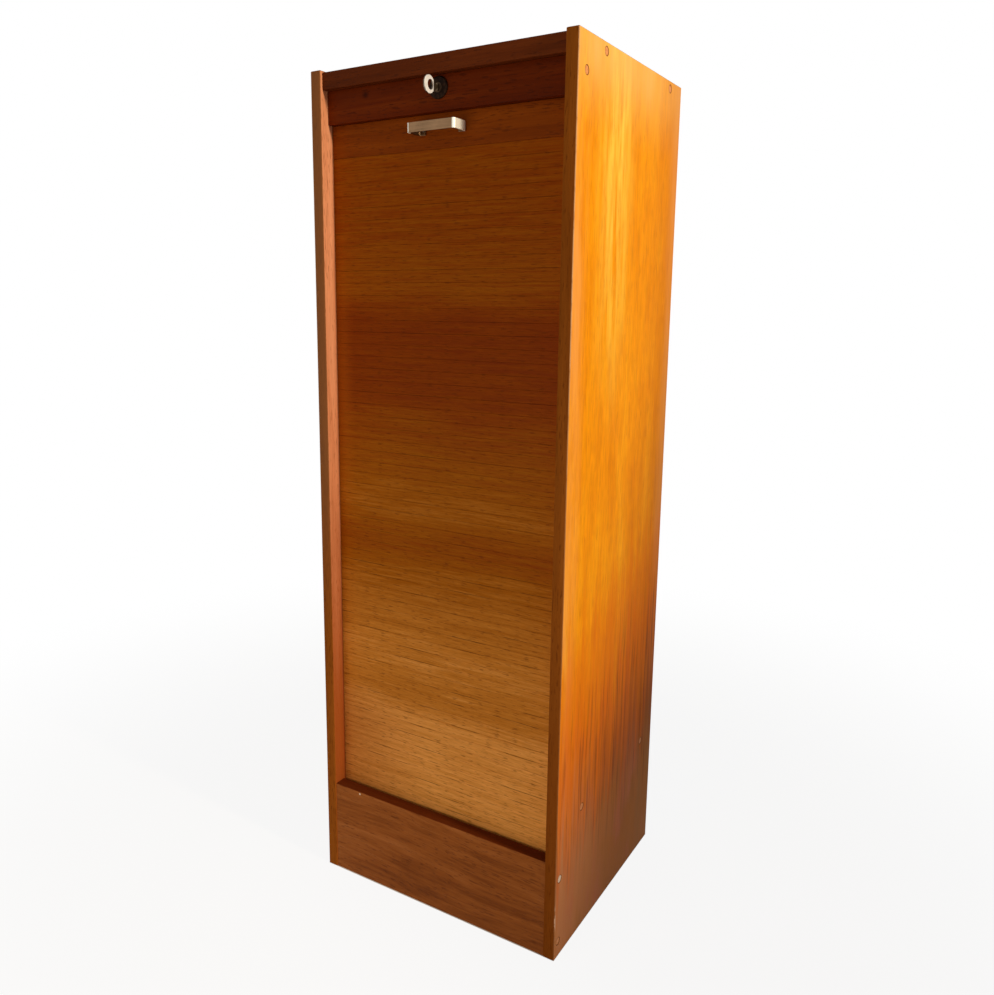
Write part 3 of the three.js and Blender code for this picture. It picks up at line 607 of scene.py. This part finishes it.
def dowel_gap_shade_share(tree):
    """A thin dark ring round every dowel plug on the outer faces, painted as the shade in the gap round
    it.
    """
    rings = []
    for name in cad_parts:
        if name.startswith("dowel_") and name.endswith("_right"):
            low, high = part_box(name)
            away = tree.away(Y=(low.y + high.y) / 2, Z=(low.z + high.z) / 2)
            rings.append(tree.near(away, (high.z - low.z) / 2 + DOWEL_GAP_SHADE_OFFSET, DOWEL_GAP_SHADE_HALF))
    outer = tree.below(tree.from_middle(), OUTER_HALF, DOWEL_GAP_SHADE_BAND)
    return tree.product(outer, tree.largest(*rings))


def chip_share(tree):
    """Small knocks low on the right side's front arris, through the varnish to pale wood."""
    front = tree.above(tree.axis("Y"), FRONT, CHIP_FRONT_BAND)
    outside = tree.below(tree.axis("X"), OUTER_HALF, CHIP_SIDE_BAND)
    low = tree.near(tree.axis("Z"), CHIP_HEIGHT, CHIP_HALF_HEIGHT)
    return tree.product(front, outside, low, tree.spots(*CHIP_SPOTS))


# Rails, top board, shelves and plinth
TOP_BOARD_PALETTE = ((80, 32, 8), (99, 43, 13), (114, 54, 20), (62, 23, 5))
LOCK_RAIL_PALETTE = ((80, 24, 1), (98, 34, 2), (116, 48, 8), (58, 16, 1))
LEAD_RAIL_PALETTE = ((106, 42, 2), (126, 55, 3), (144, 69, 9), (82, 31, 2))
SHELF_PALETTE = ((142, 82, 38), (168, 104, 52), (186, 122, 66), (112, 62, 28))
RAIL_GRAIN = {"figure": (34.0, 1.6), "contrast": 1.1}
KNOT_PLACE_X = -0.118
KNOT_PLACE_Z = 1.1635
KNOT_HALF_WIDTH = 0.008
KNOT_HALF_HEIGHT = 0.007
PLINTH_PALETTE = ((119, 62, 22), (147, 83, 35), (166, 100, 50), (94, 46, 14))
PLINTH_GRAIN = {"figure": (52.0, 5.0), "streak": (190.0, 9.0), "contrast": 1.15, "wander": 0.05}
# Painted shade: the plinth's top face and upper arris are painted dark.
PLINTH_TOP_SHADE_COLOUR = (84, 28, 6)
PLINTH_TOP_SHADE_BAND = (0.0007, 0.0002)
PLINTH_TOP_SHADE_SHARE = 0.85
FLECK_COLOUR = (232, 214, 192)
FLECK_PLACE_X = -0.137
FLECK_PLACE_Z = 0.1405
FLECK_RADIUS = 0.0019
FLECK_CORE_SHARE = 0.6


def frame_wood(name, palette, knot=False):
    """Rails, shelves and the top board, with fibres across the cabinet; a knot is dark as pores."""
    tree = Tree(name)
    colour, relief, fine = wood(tree, "X", palette, **RAIL_GRAIN)
    if knot:
        colour = tree.stain(colour, palette[-1], knot_share(tree))
    return varnish(tree, colour, relief, fine)


def knot_share(tree):
    """One small knot in the lock rail, to the left of the lock."""
    across = tree.near(tree.axis("X"), KNOT_PLACE_X, KNOT_HALF_WIDTH)
    up = tree.near(tree.axis("Z"), KNOT_PLACE_Z, KNOT_HALF_HEIGHT)
    return tree.product(across, up)


def plinth_wood():
    """Brown veneer with a fine flowing figure, an upper edge painted dark as painted shade, and one fleck
    of pale paint.
    """
    tree = Tree("plinth_wood_grain")
    colour, relief, fine = wood(tree, "X", PLINTH_PALETTE, **PLINTH_GRAIN)
    # Painted shade on the upper edge.
    top = tree.below(tree.axis("Z"), PLINTH_TOP, PLINTH_TOP_SHADE_BAND)
    colour = tree.stain(colour, PLINTH_TOP_SHADE_COLOUR, tree.product(top, PLINTH_TOP_SHADE_SHARE))
    away = tree.away(X=FLECK_PLACE_X, Z=FLECK_PLACE_Z)
    fleck = tree.step(away, FLECK_RADIUS, FLECK_RADIUS * FLECK_CORE_SHARE)
    colour = tree.stain(colour, FLECK_COLOUR, fleck)
    return varnish(tree, colour, relief, fine)


# Curtain: tones from dark (0) to light (1) wood, and the tone by height. A height here goes from
# the top of the plinth to the top of the lead rail.
CURTAIN_TONES = [(0.0, (119, 41, 0)), (0.25, (138, 61, 0)), (0.5, (159, 88, 6)),
                 (0.75, (194, 122, 42)), (1.0, (234, 162, 82))]
# Tone by height: the veneer's own bands and, partly, painted light that makes the curtain lighter towards
# the foot and darker near the top.
CURTAIN_BAND_AND_PAINTED_LIGHT_SHARES = [(0.0, 0.93), (0.13, 0.91), (0.18, 0.72), (0.24, 0.78), (0.3, 0.66),
                       (0.36, 0.55), (0.41, 0.36), (0.47, 0.54), (0.53, 0.42), (0.58, 0.32),
                       (0.64, 0.17), (0.72, 0.12), (0.78, 0.36), (0.86, 0.3), (0.93, 0.3),
                       (1.0, 0.33)]
CURTAIN_ROUGHNESS = 0.46
CURTAIN_WANDER = 0.012
CURTAIN_DRIFT_NOISE = ((3.0, 0, 14.0), 3.0, 0.55)
CURTAIN_DRIFT_SHARE = 0.05
CURTAIN_STREAK_NOISE = ((7.0, 0, 180.0), 4.0, 0.62)
CURTAIN_STREAK_SHARE = 0.45
CURTAIN_LINE_NOISE = ((18.0, 0, 430.0), 3.0, 0.6)
CURTAIN_LINE_SHARE = 0.3
CURTAIN_FIBRE_NOISE = ((60.0, 0, 900.0), 2.0, 0.5)
CURTAIN_FIBRE_SHADES = [(0.3, 0.84), (0.5, 1.0), (0.7, 1.14)]
CURTAIN_FIBRE_SHARE = 0.75
CURTAIN_RELIEF_SHARE = 0.5
CURTAIN_PORE_COLOUR = (92, 38, 3)
CURTAIN_PORE_SPOTS = ((70.0, 0, 620.0), 1.0, 0.4, 0.6, 0.7)
CURTAIN_PORE_SHARE = 0.45
CURTAIN_LEFT = -0.18
# Painted shade on the lower left of the curtain.
LEFT_FOOT_SHADE_COLOUR = (222, 208, 198)
LEFT_FOOT_SHADE_HEIGHT_SPAN = (0.2, 0.1)
# Painted reflected light: a warmer strip down the curtain's left edge.
LEFT_BOUNCE_LIGHT_COLOUR = (170, 92, 22)
LEFT_BOUNCE_LIGHT_WIDTH = 0.03
LEFT_BOUNCE_LIGHT_CENTRE_SHARE = 0.62
LEFT_BOUNCE_LIGHT_HALF_SHARE = 0.34
LEFT_BOUNCE_LIGHT_SHARE = 0.4
SLAT_PITCH = 0.017
DASH_COLOUR = (66, 30, 6)
DASH_HALF = 0.001
DASH_SPOTS = ((12.0, 0, 1.0 / SLAT_PITCH), 3.0, 0.6, 0.47, 0.6)
DASH_HEIGHT_SPAN = (0.6, 0.2)
DASH_HIGH_SHARE = 0.25
DASH_LOW_SHARE = 0.4
CANVAS_DARK = (140, 128, 104)
CANVAS_LIGHT = (176, 164, 138)
CANVAS_NOISE = ((1100.0, 0, 1100.0), 1.0, 0.5)
CANVAS_PLACES = (0.4, 0.6)
CANVAS_THICKNESS = 0.0006


def curtain_slats():
    """Slats cut from one sheet of veneer, so that the figure runs on from slat to slat."""
    tree = Tree("curtain_slats")
    height = tree.step(tree.axis("Z"), PLINTH_TOP, LEAD_RAIL_TOP, smooth=False)
    place = waved(tree, "X", CURTAIN_WANDER)
    streak = tree.noise(*CURTAIN_STREAK_NOISE, place)
    fibre = tree.noise(*CURTAIN_FIBRE_NOISE, place)
    pores = tree.spots(*CURTAIN_PORE_SPOTS, place)
    # The tone by height holds painted light as well as the veneer's bands.
    colour = tree.ramp(curtain_tone(tree, height, streak, place), CURTAIN_TONES)
    colour = tree.mix(CURTAIN_FIBRE_SHARE, colour, tree.curve(fibre, CURTAIN_FIBRE_SHADES), "MULTIPLY")
    colour = tree.stain(colour, CURTAIN_PORE_COLOUR, tree.product(pores, CURTAIN_PORE_SHARE))
    # Painted shade on the lower left.
    colour = tree.mix(left_foot_shade_share(tree, height), colour, paint(LEFT_FOOT_SHADE_COLOUR), "MULTIPLY")
    # Painted reflected light down the left edge.
    colour = tree.stain(colour, LEFT_BOUNCE_LIGHT_COLOUR, left_bounce_light_share(tree, height))
    colour = tree.stain(colour, DASH_COLOUR, dash_share(tree, height))
    canvas = tree.ramp(tree.noise(*CANVAS_NOISE), list(zip(CANVAS_PLACES, (CANVAS_DARK, CANVAS_LIGHT))))
    behind = tree.below(tree.axis("Y"), CURTAIN_REAR, (CANVAS_THICKNESS, CANVAS_THICKNESS / 2))
    colour = tree.mix(behind, colour, canvas)
    relief = tree.math("SUBTRACT", tree.product(fibre, CURTAIN_RELIEF_SHARE), pores)
    return varnish(tree, colour, relief, streak, roughness=CURTAIN_ROUGHNESS)


def curtain_tone(tree, height, streak, place):
    """How light the veneer is: broad bands by height, partly the veneer's own bands and partly painted
    light that makes it lighter towards the foot, with streaks and fine lines.
    """
    drift = tree.swing(tree.noise(*CURTAIN_DRIFT_NOISE), CURTAIN_DRIFT_SHARE)
    band = tree.curve(tree.math("ADD", height, drift), CURTAIN_BAND_AND_PAINTED_LIGHT_SHARES)
    line = tree.noise(*CURTAIN_LINE_NOISE, place)
    lift = tree.math("ADD", tree.swing(streak, CURTAIN_STREAK_SHARE), tree.swing(line, CURTAIN_LINE_SHARE))
    return tree.math("ADD", band, lift)


def left_foot_shade_share(tree, height):
    """Painted shade: a darker left half near the foot."""
    return tree.product(tree.step(tree.axis("X"), 0.0, CURTAIN_LEFT), tree.step(height, *LEFT_FOOT_SHADE_HEIGHT_SPAN))


def left_bounce_light_share(tree, height):
    """Painted reflected light: a warmer strip down the left edge, for light thrown back from the lit inner
    face beside it.
    """
    edge = tree.step(tree.axis("X"), CURTAIN_LEFT + LEFT_BOUNCE_LIGHT_WIDTH, CURTAIN_LEFT)
    return tree.product(edge, tree.near(height, LEFT_BOUNCE_LIGHT_CENTRE_SHARE, LEFT_BOUNCE_LIGHT_HALF_SHARE), LEFT_BOUNCE_LIGHT_SHARE)


def dash_share(tree, height):
    """Dark broken dashes along the joints between slats, stronger in the pale lower half."""
    slats = tree.math("DIVIDE", tree.math("SUBTRACT", CURTAIN_TOP, tree.axis("Z")), SLAT_PITCH)
    offset = tree.math("FRACT", tree.math("ADD", slats, 0.5))
    line = tree.near(offset, 0.5, DASH_HALF / SLAT_PITCH)
    low = tree.product(tree.step(height, *DASH_HEIGHT_SPAN), DASH_LOW_SHARE)
    return tree.product(line, tree.spots(*DASH_SPOTS), tree.math("ADD", low, DASH_HIGH_SHARE))


# Dowel plugs and the hardboard back
DOWEL_PALETTE = ((196, 122, 68), (222, 148, 92), (236, 170, 114), (140, 78, 40))
# One plug, low on the right side, is much paler than the others.
PALE_PLUG_PALETTE = ((206, 168, 138), (250, 226, 202), (255, 242, 226), (150, 100, 66))
DOWEL_NOISE = ((500.0, 900.0, 420.0), 3.0, 0.6)
DOWEL_PLACES = (0.3, 0.5, 0.72)
DOWEL_PORE_SPOTS = ((600.0, 1900.0, 1900.0), 1.0, 0.5, 0.66, 0.74)
DOWEL_PORE_SHARE = 0.5
DOWEL_ROUGHNESS = 0.5
HARDBOARD_PALETTE = ((104, 70, 44), (124, 88, 58), (140, 104, 72))
HARDBOARD_PLACES = (0.36, 0.5, 0.64)
HARDBOARD_CLOUD_NOISE = ((9.0, 9.0, 9.0), 4.0, 0.6)
HARDBOARD_FLECK_NOISE = ((520.0, 520.0, 520.0), 3.0, 0.65)
HARDBOARD_ROUGHNESS = 0.62
HARDBOARD_DEPTH = 0.00015


def dowel_wood(name, palette):
    """End grain of the plugs: tiny rings and pores, pinker than the veneer."""
    tree = Tree(name)
    *tones, hollow = palette
    grain = tree.noise(*DOWEL_NOISE)
    colour = tree.ramp(grain, list(zip(DOWEL_PLACES, tones)))
    pores = tree.product(tree.spots(*DOWEL_PORE_SPOTS), DOWEL_PORE_SHARE)
    colour = tree.stain(colour, hollow, pores)
    return varnish(tree, colour, grain, grain, roughness=DOWEL_ROUGHNESS)


def hardboard():
    """Pressed fibre board: mottled brown with short fibres both ways."""
    tree = Tree("hardboard")
    fleck = tree.noise(*HARDBOARD_FLECK_NOISE)
    both = tree.math("ADD", tree.noise(*HARDBOARD_CLOUD_NOISE), fleck)
    colour = tree.ramp(tree.product(both, 0.5), list(zip(HARDBOARD_PLACES, HARDBOARD_PALETTE)))
    tree.set(Base_Color=colour, Roughness=HARDBOARD_ROUGHNESS)
    tree.bump(fleck, HARDBOARD_DEPTH)
    return tree.material


# Metals: the colour, the roughness and the noise scale of each, how they wear, the painted highlight on
# the handle and the painted light and shade on the key
METAL_DETAIL = (2.0, 0.6)
METAL_PATCH_NOISE = ((60.0, 60.0, 60.0), 3.0, 0.6)
METAL_DARK_SHARE = 0.8
METAL_PLACES = (0.3, 0.6)
METAL_LINE_ROUGHNESS = 0.12
METAL_PATCH_ROUGHNESS = 0.1
METAL_DEPTH = 0.00002
HARDWARE_COLOUR = (160, 156, 148)
HARDWARE_ROUGHNESS = 0.26
HARDWARE_SCALE = (400.0, 400.0, 400.0)
PLUG_COLOUR = (74, 56, 42)
PLUG_ROUGHNESS = 0.4
PLUG_SCALE = (500.0, 120.0, 500.0)
HANDLE_COLOUR = (140, 108, 78)
# Painted highlight: the handle's bends and right-hand return are painted near white.
HANDLE_HIGHLIGHT_COLOUR = (250, 250, 238)
HANDLE_SCALE = (30.0, 900.0, 1500.0)
HANDLE_BEND = 0.0042
HANDLE_MIDDLE_BLUR = 0.01
HANDLE_ROUGHNESS = 0.2
HANDLE_HIGHLIGHT_ROUGHNESS = 0.2
HANDLE_HIGHLIGHT_SHARE = 0.6
# Painted light and shade on the key: flat faces near white, edges, neck and blade dark.
KEY_COLOUR = (255, 255, 255)
KEY_SHADE_COLOUR = (96, 80, 62)
KEY_SCALE = (700.0, 700.0, 120.0)
KEY_FLAT_SPAN = (0.6, 0.8)
KEY_NECK_SHARE = 0.66
KEY_NECK_BLUR = 0.0012
KEY_ROUGHNESS = 0.34
KEY_BRIGHT_SHARE = 0.92

# Black lacquer of the lock
LACQUER_BLACK = (30, 18, 12)
LACQUER_RUBBED = (64, 42, 28)
LACQUER_NOISE = ((220.0, 220.0, 220.0), 4.0, 0.65)
LACQUER_PLACES = (0.45, 0.75)
LACQUER_ROUGHNESS = 0.25
LACQUER_RUBBED_ROUGHNESS = 0.25
LACQUER_GLOSS = 0.04
LACQUER_DEPTH = 0.00003


def metal_lines(tree, colour, scale):
    """A metal's tint with fine lines one way and faint dull patches, and the two noises."""
    lines = tree.noise(scale, *METAL_DETAIL)
    patches = tree.noise(*METAL_PATCH_NOISE)
    darker = [part * METAL_DARK_SHARE for part in colour]
    both = tree.product(tree.math("ADD", lines, patches), 0.5)
    return tree.ramp(both, list(zip(METAL_PLACES, (darker, colour)))), lines, patches


def worn_metal(tree, tint, lines, patches, roughness, metallic=1.0):
    """The metal's finish, rougher along its lines and in its patches."""
    rough = tree.math("ADD", tree.product(lines, METAL_LINE_ROUGHNESS), roughness)
    rough = tree.math("ADD", rough, tree.product(patches, METAL_PATCH_ROUGHNESS))
    tree.set(Base_Color=tint, Metallic=metallic, Roughness=rough)
    tree.bump(lines, METAL_DEPTH)
    return tree.material


def brushed_metal(name, colour, roughness, scale):
    """A metal with one finish all over."""
    tree = Tree(name)
    return worn_metal(tree, *metal_lines(tree, colour, scale), roughness)


def handle_steel():
    """Brownish brushed steel, with a painted highlight, near white and partly non-metal, on both bends and
    the whole right-hand return.
    """
    tree = Tree("handle_steel_brushed")
    tint, lines, patches = metal_lines(tree, HANDLE_COLOUR, HANDLE_SCALE)
    ends = tree.below(tree.from_middle(), HANDLE_HALF, (HANDLE_BEND, HANDLE_BEND / 2))
    forward = tree.above(tree.axis("Y"), HANDLE_FRONT, (2 * HANDLE_BEND, HANDLE_BEND))
    right = tree.step(tree.axis("X"), 0.0, HANDLE_MIDDLE_BLUR)
    # Painted highlight on the bends and the right-hand return.
    bend_highlight = tree.product(ends, tree.largest(forward, right))
    tint = tree.stain(tint, HANDLE_HIGHLIGHT_COLOUR, bend_highlight)
    rough = tree.math("ADD", tree.product(bend_highlight, HANDLE_HIGHLIGHT_ROUGHNESS), HANDLE_ROUGHNESS)
    metallic = tree.math("SUBTRACT", 1.0, tree.product(bend_highlight, HANDLE_HIGHLIGHT_SHARE))
    return worn_metal(tree, tint, lines, patches, rough, metallic)


def key_nickel():
    """Nickel key: the bow's flat faces painted near white and barely metal as painted light, its edges,
    neck and blade painted dark as painted shade.
    """
    tree = Tree("key_nickel_painted_light_and_shade")
    tint, lines, patches = metal_lines(tree, KEY_COLOUR, KEY_SCALE)
    facing = tree.split(tree.coordinates["Normal"])
    flat = tree.step(tree.math("ABSOLUTE", facing["X"]), *KEY_FLAT_SPAN)
    neck = KEY_FRONT + (LOCK_FRONT - KEY_FRONT) * KEY_NECK_SHARE
    bow = tree.step(tree.axis("Y"), neck + KEY_NECK_BLUR, neck - KEY_NECK_BLUR)
    # Painted light on the bow's flat faces, painted shade elsewhere.
    painted_lit = tree.product(flat, bow)
    tint = tree.mix(painted_lit, paint(KEY_SHADE_COLOUR), tint)
    metallic = tree.math("SUBTRACT", 1.0, tree.product(painted_lit, KEY_BRIGHT_SHARE))
    return worn_metal(tree, tint, lines, patches, KEY_ROUGHNESS, metallic)


def lock_black():
    """Black lacquer on the lock's rosette, rubbed brown in places."""
    tree = Tree("lock_black")
    rub = tree.noise(*LACQUER_NOISE)
    colour = tree.ramp(rub, list(zip(LACQUER_PLACES, (LACQUER_BLACK, LACQUER_RUBBED))))
    rough = tree.math("ADD", tree.product(rub, LACQUER_RUBBED_ROUGHNESS), LACQUER_ROUGHNESS)
    tree.set(Base_Color=colour, Roughness=rough, Specular_IOR_Level=LACQUER_GLOSS)
    tree.bump(rub, LACQUER_DEPTH)
    return tree.material


def smooth_shading():
    """A modifier tree that joins a node's triangles and rounds the shading of its shallow edges."""
    group = bpy.data.node_groups.new("smooth_shading", "GeometryNodeTree")
    group.interface.new_socket("Geometry", in_out="INPUT", socket_type="NodeSocketGeometry")
    group.interface.new_socket("Geometry", in_out="OUTPUT", socket_type="NodeSocketGeometry")
    nodes, links = group.nodes, group.links
    start = nodes.new("NodeGroupInput")
    end = nodes.new("NodeGroupOutput")
    bare = nodes.new("GeometryNodeRemoveAttribute")
    bare.inputs["Name"].default_value = "custom_normal"
    merge = nodes.new("GeometryNodeMergeByDistance")
    merge.inputs["Distance"].default_value = MERGE_DISTANCE
    faces = nodes.new("GeometryNodeSetShadeSmooth")
    edges = nodes.new("GeometryNodeSetShadeSmooth")
    edges.domain = "EDGE"
    angle = nodes.new("GeometryNodeInputMeshEdgeAngle")
    shallow = nodes.new("FunctionNodeCompare")
    shallow.operation = "LESS_THAN"
    shallow.inputs["B"].default_value = math.radians(ROUND_ANGLE)
    chain = (start, bare, merge, faces, edges, end)
    for before, after in zip(chain, chain[1:]):
        links.new(before.outputs["Geometry"], after.inputs["Geometry"])
    links.new(angle.outputs["Unsigned Angle"], shallow.inputs["A"])
    links.new(shallow.outputs["Result"], edges.inputs["Shade Smooth"])
    return group


def ease_arrises(node):
    """Sharp edges of a board, taken off as a sanding block leaves them."""
    arris = node.modifiers.new("eased_arrises", "BEVEL")
    arris.width = ARRIS_WIDTH
    arris.segments = 2
    arris.limit_method = "ANGLE"
    arris.angle_limit = math.radians(ARRIS_ANGLE)
    arris.harden_normals = True


def finishes_by_name():
    """Finishes of single nodes that differ from the rest of their slot."""
    return {
        "top_board": frame_wood("top_board_wood", TOP_BOARD_PALETTE),
        "lock_rail": frame_wood("lock_rail_wood", LOCK_RAIL_PALETTE, knot=True),
        "lead_rail": frame_wood("lead_rail_wood", LEAD_RAIL_PALETTE),
        "dowel_plinth_high_right": dowel_wood("pale_plug_wood", PALE_PLUG_PALETTE),
        "lock_plug": brushed_metal("plug_dark", PLUG_COLOUR, PLUG_ROUGHNESS, PLUG_SCALE),
    }


def finishes_by_slot(steel):
    """The finish of each of the record's material slots."""
    return {
        "side_veneer": side_veneer(),
        "plinth_wood": plinth_wood(),
        "curtain_slats": curtain_slats(),
        "inner_wood": frame_wood("inner_wood_grain", SHELF_PALETTE),
        "dowel_wood": dowel_wood("dowel_wood_grain", DOWEL_PALETTE),
        "hardboard": hardboard(),
        "handle_steel": handle_steel(),
        "steel_hardware": steel,
        "lock_black": lock_black(),
        "key_nickel": key_nickel(),
    }


def dress_nodes(steel):
    """Gives every CAD node its finish and rounded shading, and boards their eased edges."""
    by_name = finishes_by_name()
    by_slot = finishes_by_slot(steel)
    shading = smooth_shading()
    for name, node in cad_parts.items():
        slot_name = node.data.materials[0].name
        node.material_slots[0].material = by_name[name] if name in by_name else by_slot[slot_name]
        node.modifiers.new("smooth_shading", "NODES").node_group = shading
        if name in EASED_NODES:
            ease_arrises(node)


# Nails of the back. A head is let in by its seat and stands just proud of the hardboard.
NAIL_RADIUS = 0.0024
NAIL_TAPER_SHARE = 0.9
NAIL_PROUD = 0.00008
NAIL_SEAT = 0.0006
NAIL_SIDES = 20
NAIL_PITCH = 0.1
NAIL_INSET = 0.006


def nail_head(mesh, across, height):
    """One flat nail head, let into the rear face of the outer back."""
    turn = Matrix.Rotation(math.radians(90), 4, "X")
    place = Matrix.Translation((across, BACK + NAIL_PROUD - NAIL_SEAT / 2, height))
    bmesh.ops.create_cone(mesh, cap_ends=True, segments=NAIL_SIDES, depth=NAIL_SEAT,
                          radius1=NAIL_RADIUS * NAIL_TAPER_SHARE, radius2=NAIL_RADIUS,
                          matrix=place @ turn)


def spaced(low, high):
    """Places from low to high, about a nail's pitch apart."""
    count = round((high - low) / NAIL_PITCH)
    return [low + (high - low) * step / count for step in range(count + 1)]


def add_back_nails(steel):
    """The nails round the edge of the outer back, into the sides, the top and the bottom."""
    low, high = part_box("outer_back")
    side = high.x - NAIL_INSET
    heights = spaced(low.z + NAIL_INSET, high.z - NAIL_INSET)
    shape = bmesh.new()
    for height in heights:
        nail_head(shape, -side, height)
        nail_head(shape, side, height)
    for across in spaced(-side, side)[1:-1]:
        nail_head(shape, across, heights[-1])
        nail_head(shape, across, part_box("bottom_board")[1].z - NAIL_INSET)
    mesh = bpy.data.meshes.new("back_nails")
    shape.to_mesh(mesh)
    shape.free()
    nails = bpy.data.objects.new("back_nails", mesh)
    bpy.context.scene.collection.objects.link(nails)
    mesh.materials.append(steel)
    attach(nails, "carcass")


def add_camera():
    """The photograph's camera. Its picture is higher than wide, so the height sets the lens."""
    data = bpy.data.cameras.new("camera")
    data.sensor_width = SENSOR_WIDTH
    data.lens = FOCAL_PIXELS * SENSOR_WIDTH / IMAGE_HEIGHT
    data.shift_x = (IMAGE_WIDTH / 2 - LENS_CENTRE_X) / IMAGE_HEIGHT
    data.shift_y = (LENS_CENTRE_Y - IMAGE_HEIGHT / 2) / IMAGE_HEIGHT
    camera = bpy.data.objects.new("camera", data)
    camera.location = CAMERA_PLACE
    camera.rotation_euler = Euler([math.radians(a) for a in (CAMERA_PITCH, CAMERA_ROLL, CAMERA_TURN)])
    bpy.context.scene.collection.objects.link(camera)
    bpy.context.scene.camera = camera


def hang_lamp(data, place, aim, power, colour):
    """Puts a lamp in its place, turned to what it lights."""
    data.energy = power
    data.color = paint(colour)[:3]
    lamp = bpy.data.objects.new(data.name, data)
    lamp.location = place
    lamp.rotation_euler = (Vector(aim) - Vector(place)).to_track_quat("-Z", "Y").to_euler()
    bpy.context.scene.collection.objects.link(lamp)
    return lamp


def add_key_lamp(place, aim, radius, cone, soft_share, power, colour):
    """A spot whose soft lower edge crosses the right side a third of the way up. The handle and
    the key throw no shadow in it, as in the photograph."""
    data = bpy.data.lights.new("key_lamp", "SPOT")
    data.shadow_soft_size = radius
    data.spot_size = math.radians(cone)
    data.spot_blend = soft_share
    lamp = hang_lamp(data, place, aim, power, colour)
    small = bpy.data.collections.new("no_key_shadow")
    for name in NO_KEY_SHADOW:
        small.objects.link(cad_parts[name])
    for item in small.collection_objects:
        item.light_linking.link_state = "EXCLUDE"
    lamp.light_linking.blocker_collection = small


def add_front_lamp(place, aim, size, power, colour):
    """A wide weak lamp, low in front of the curtain and the plinth."""
    data = bpy.data.lights.new("front_lamp", "AREA")
    data.shape = "RECTANGLE"
    data.size, data.size_y = size
    hang_lamp(data, place, aim, power, colour)


def add_world():
    """White where it is seen, and a soft even sky as light."""
    world = bpy.data.worlds.new("studio")
    bpy.context.scene.world = world
    world.use_nodes = True
    graph = Graph(world.node_tree)
    sky = graph.nodes["Background"]
    white = graph.nodes.new("ShaderNodeBackground")
    for light, colour, strength in ((sky, SKY_COLOUR, SKY_STRENGTH), (white, WHITE, 1.0)):
        light.inputs["Color"].default_value = paint(colour)
        light.inputs["Strength"].default_value = strength
    graph.show("World Output", graph.seen_share(), sky, white)


def uncovered_share(tree):
    """1 on the open floor and 0 under the cabinet, where no white shows through its slots."""
    past_sides = tree.math("GREATER_THAN", tree.from_middle(), OUTER_HALF)
    offset = tree.math("SUBTRACT", tree.axis("Y"), (FRONT + BACK) / 2)
    past_ends = tree.math("GREATER_THAN", tree.math("ABSOLUTE", offset), (BACK - FRONT) / 2)
    return tree.largest(past_sides, past_ends)


def floor_pale():
    """A pale floor that goes nearly white to the eye and keeps the cabinet's soft shadow."""
    tree = Tree("floor_pale")
    tree.set(Base_Color=paint(FLOOR_COLOUR), Roughness=FLOOR_ROUGHNESS)
    white = tree.nodes.new("ShaderNodeEmission")
    white.inputs["Color"].default_value = paint(WHITE)
    white.inputs["Strength"].default_value = 1.0
    far = tree.step(tree.away(X=0.0, Y=0.0), FLOOR_WHITE_START, FLOOR_WHITE_END)
    fade = tree.math("ADD", tree.product(far, 1 - FLOOR_WHITE_NEAR_SHARE), FLOOR_WHITE_NEAR_SHARE)
    share = tree.product(tree.seen_share(), fade, uncovered_share(tree))
    tree.show("Material Output", share, tree.shader, white)
    return tree.material


def add_floor():
    """A wide flat floor, which is no part of the cabinet."""
    corners = [(-FLOOR_HALF, -FLOOR_HALF, 0), (FLOOR_HALF, -FLOOR_HALF, 0),
               (FLOOR_HALF, FLOOR_HALF, 0), (-FLOOR_HALF, FLOOR_HALF, 0)]
    mesh = bpy.data.meshes.new("floor")
    mesh.from_pydata(corners, [], [(0, 1, 2, 3)])
    mesh.materials.append(floor_pale())
    floor = bpy.data.objects.new("floor", mesh)
    bpy.context.scene.collection.objects.link(floor)


bpy.context.scene.view_settings.view_transform = "Standard"
steel_plated = brushed_metal("steel_plated", HARDWARE_COLOUR, HARDWARE_ROUGHNESS, HARDWARE_SCALE)
dress_nodes(steel_plated)
add_back_nails(steel_plated)
add_camera()
add_key_lamp(**KEY_LAMP)
add_front_lamp(**FRONT_LAMP)
add_world()
add_floor()
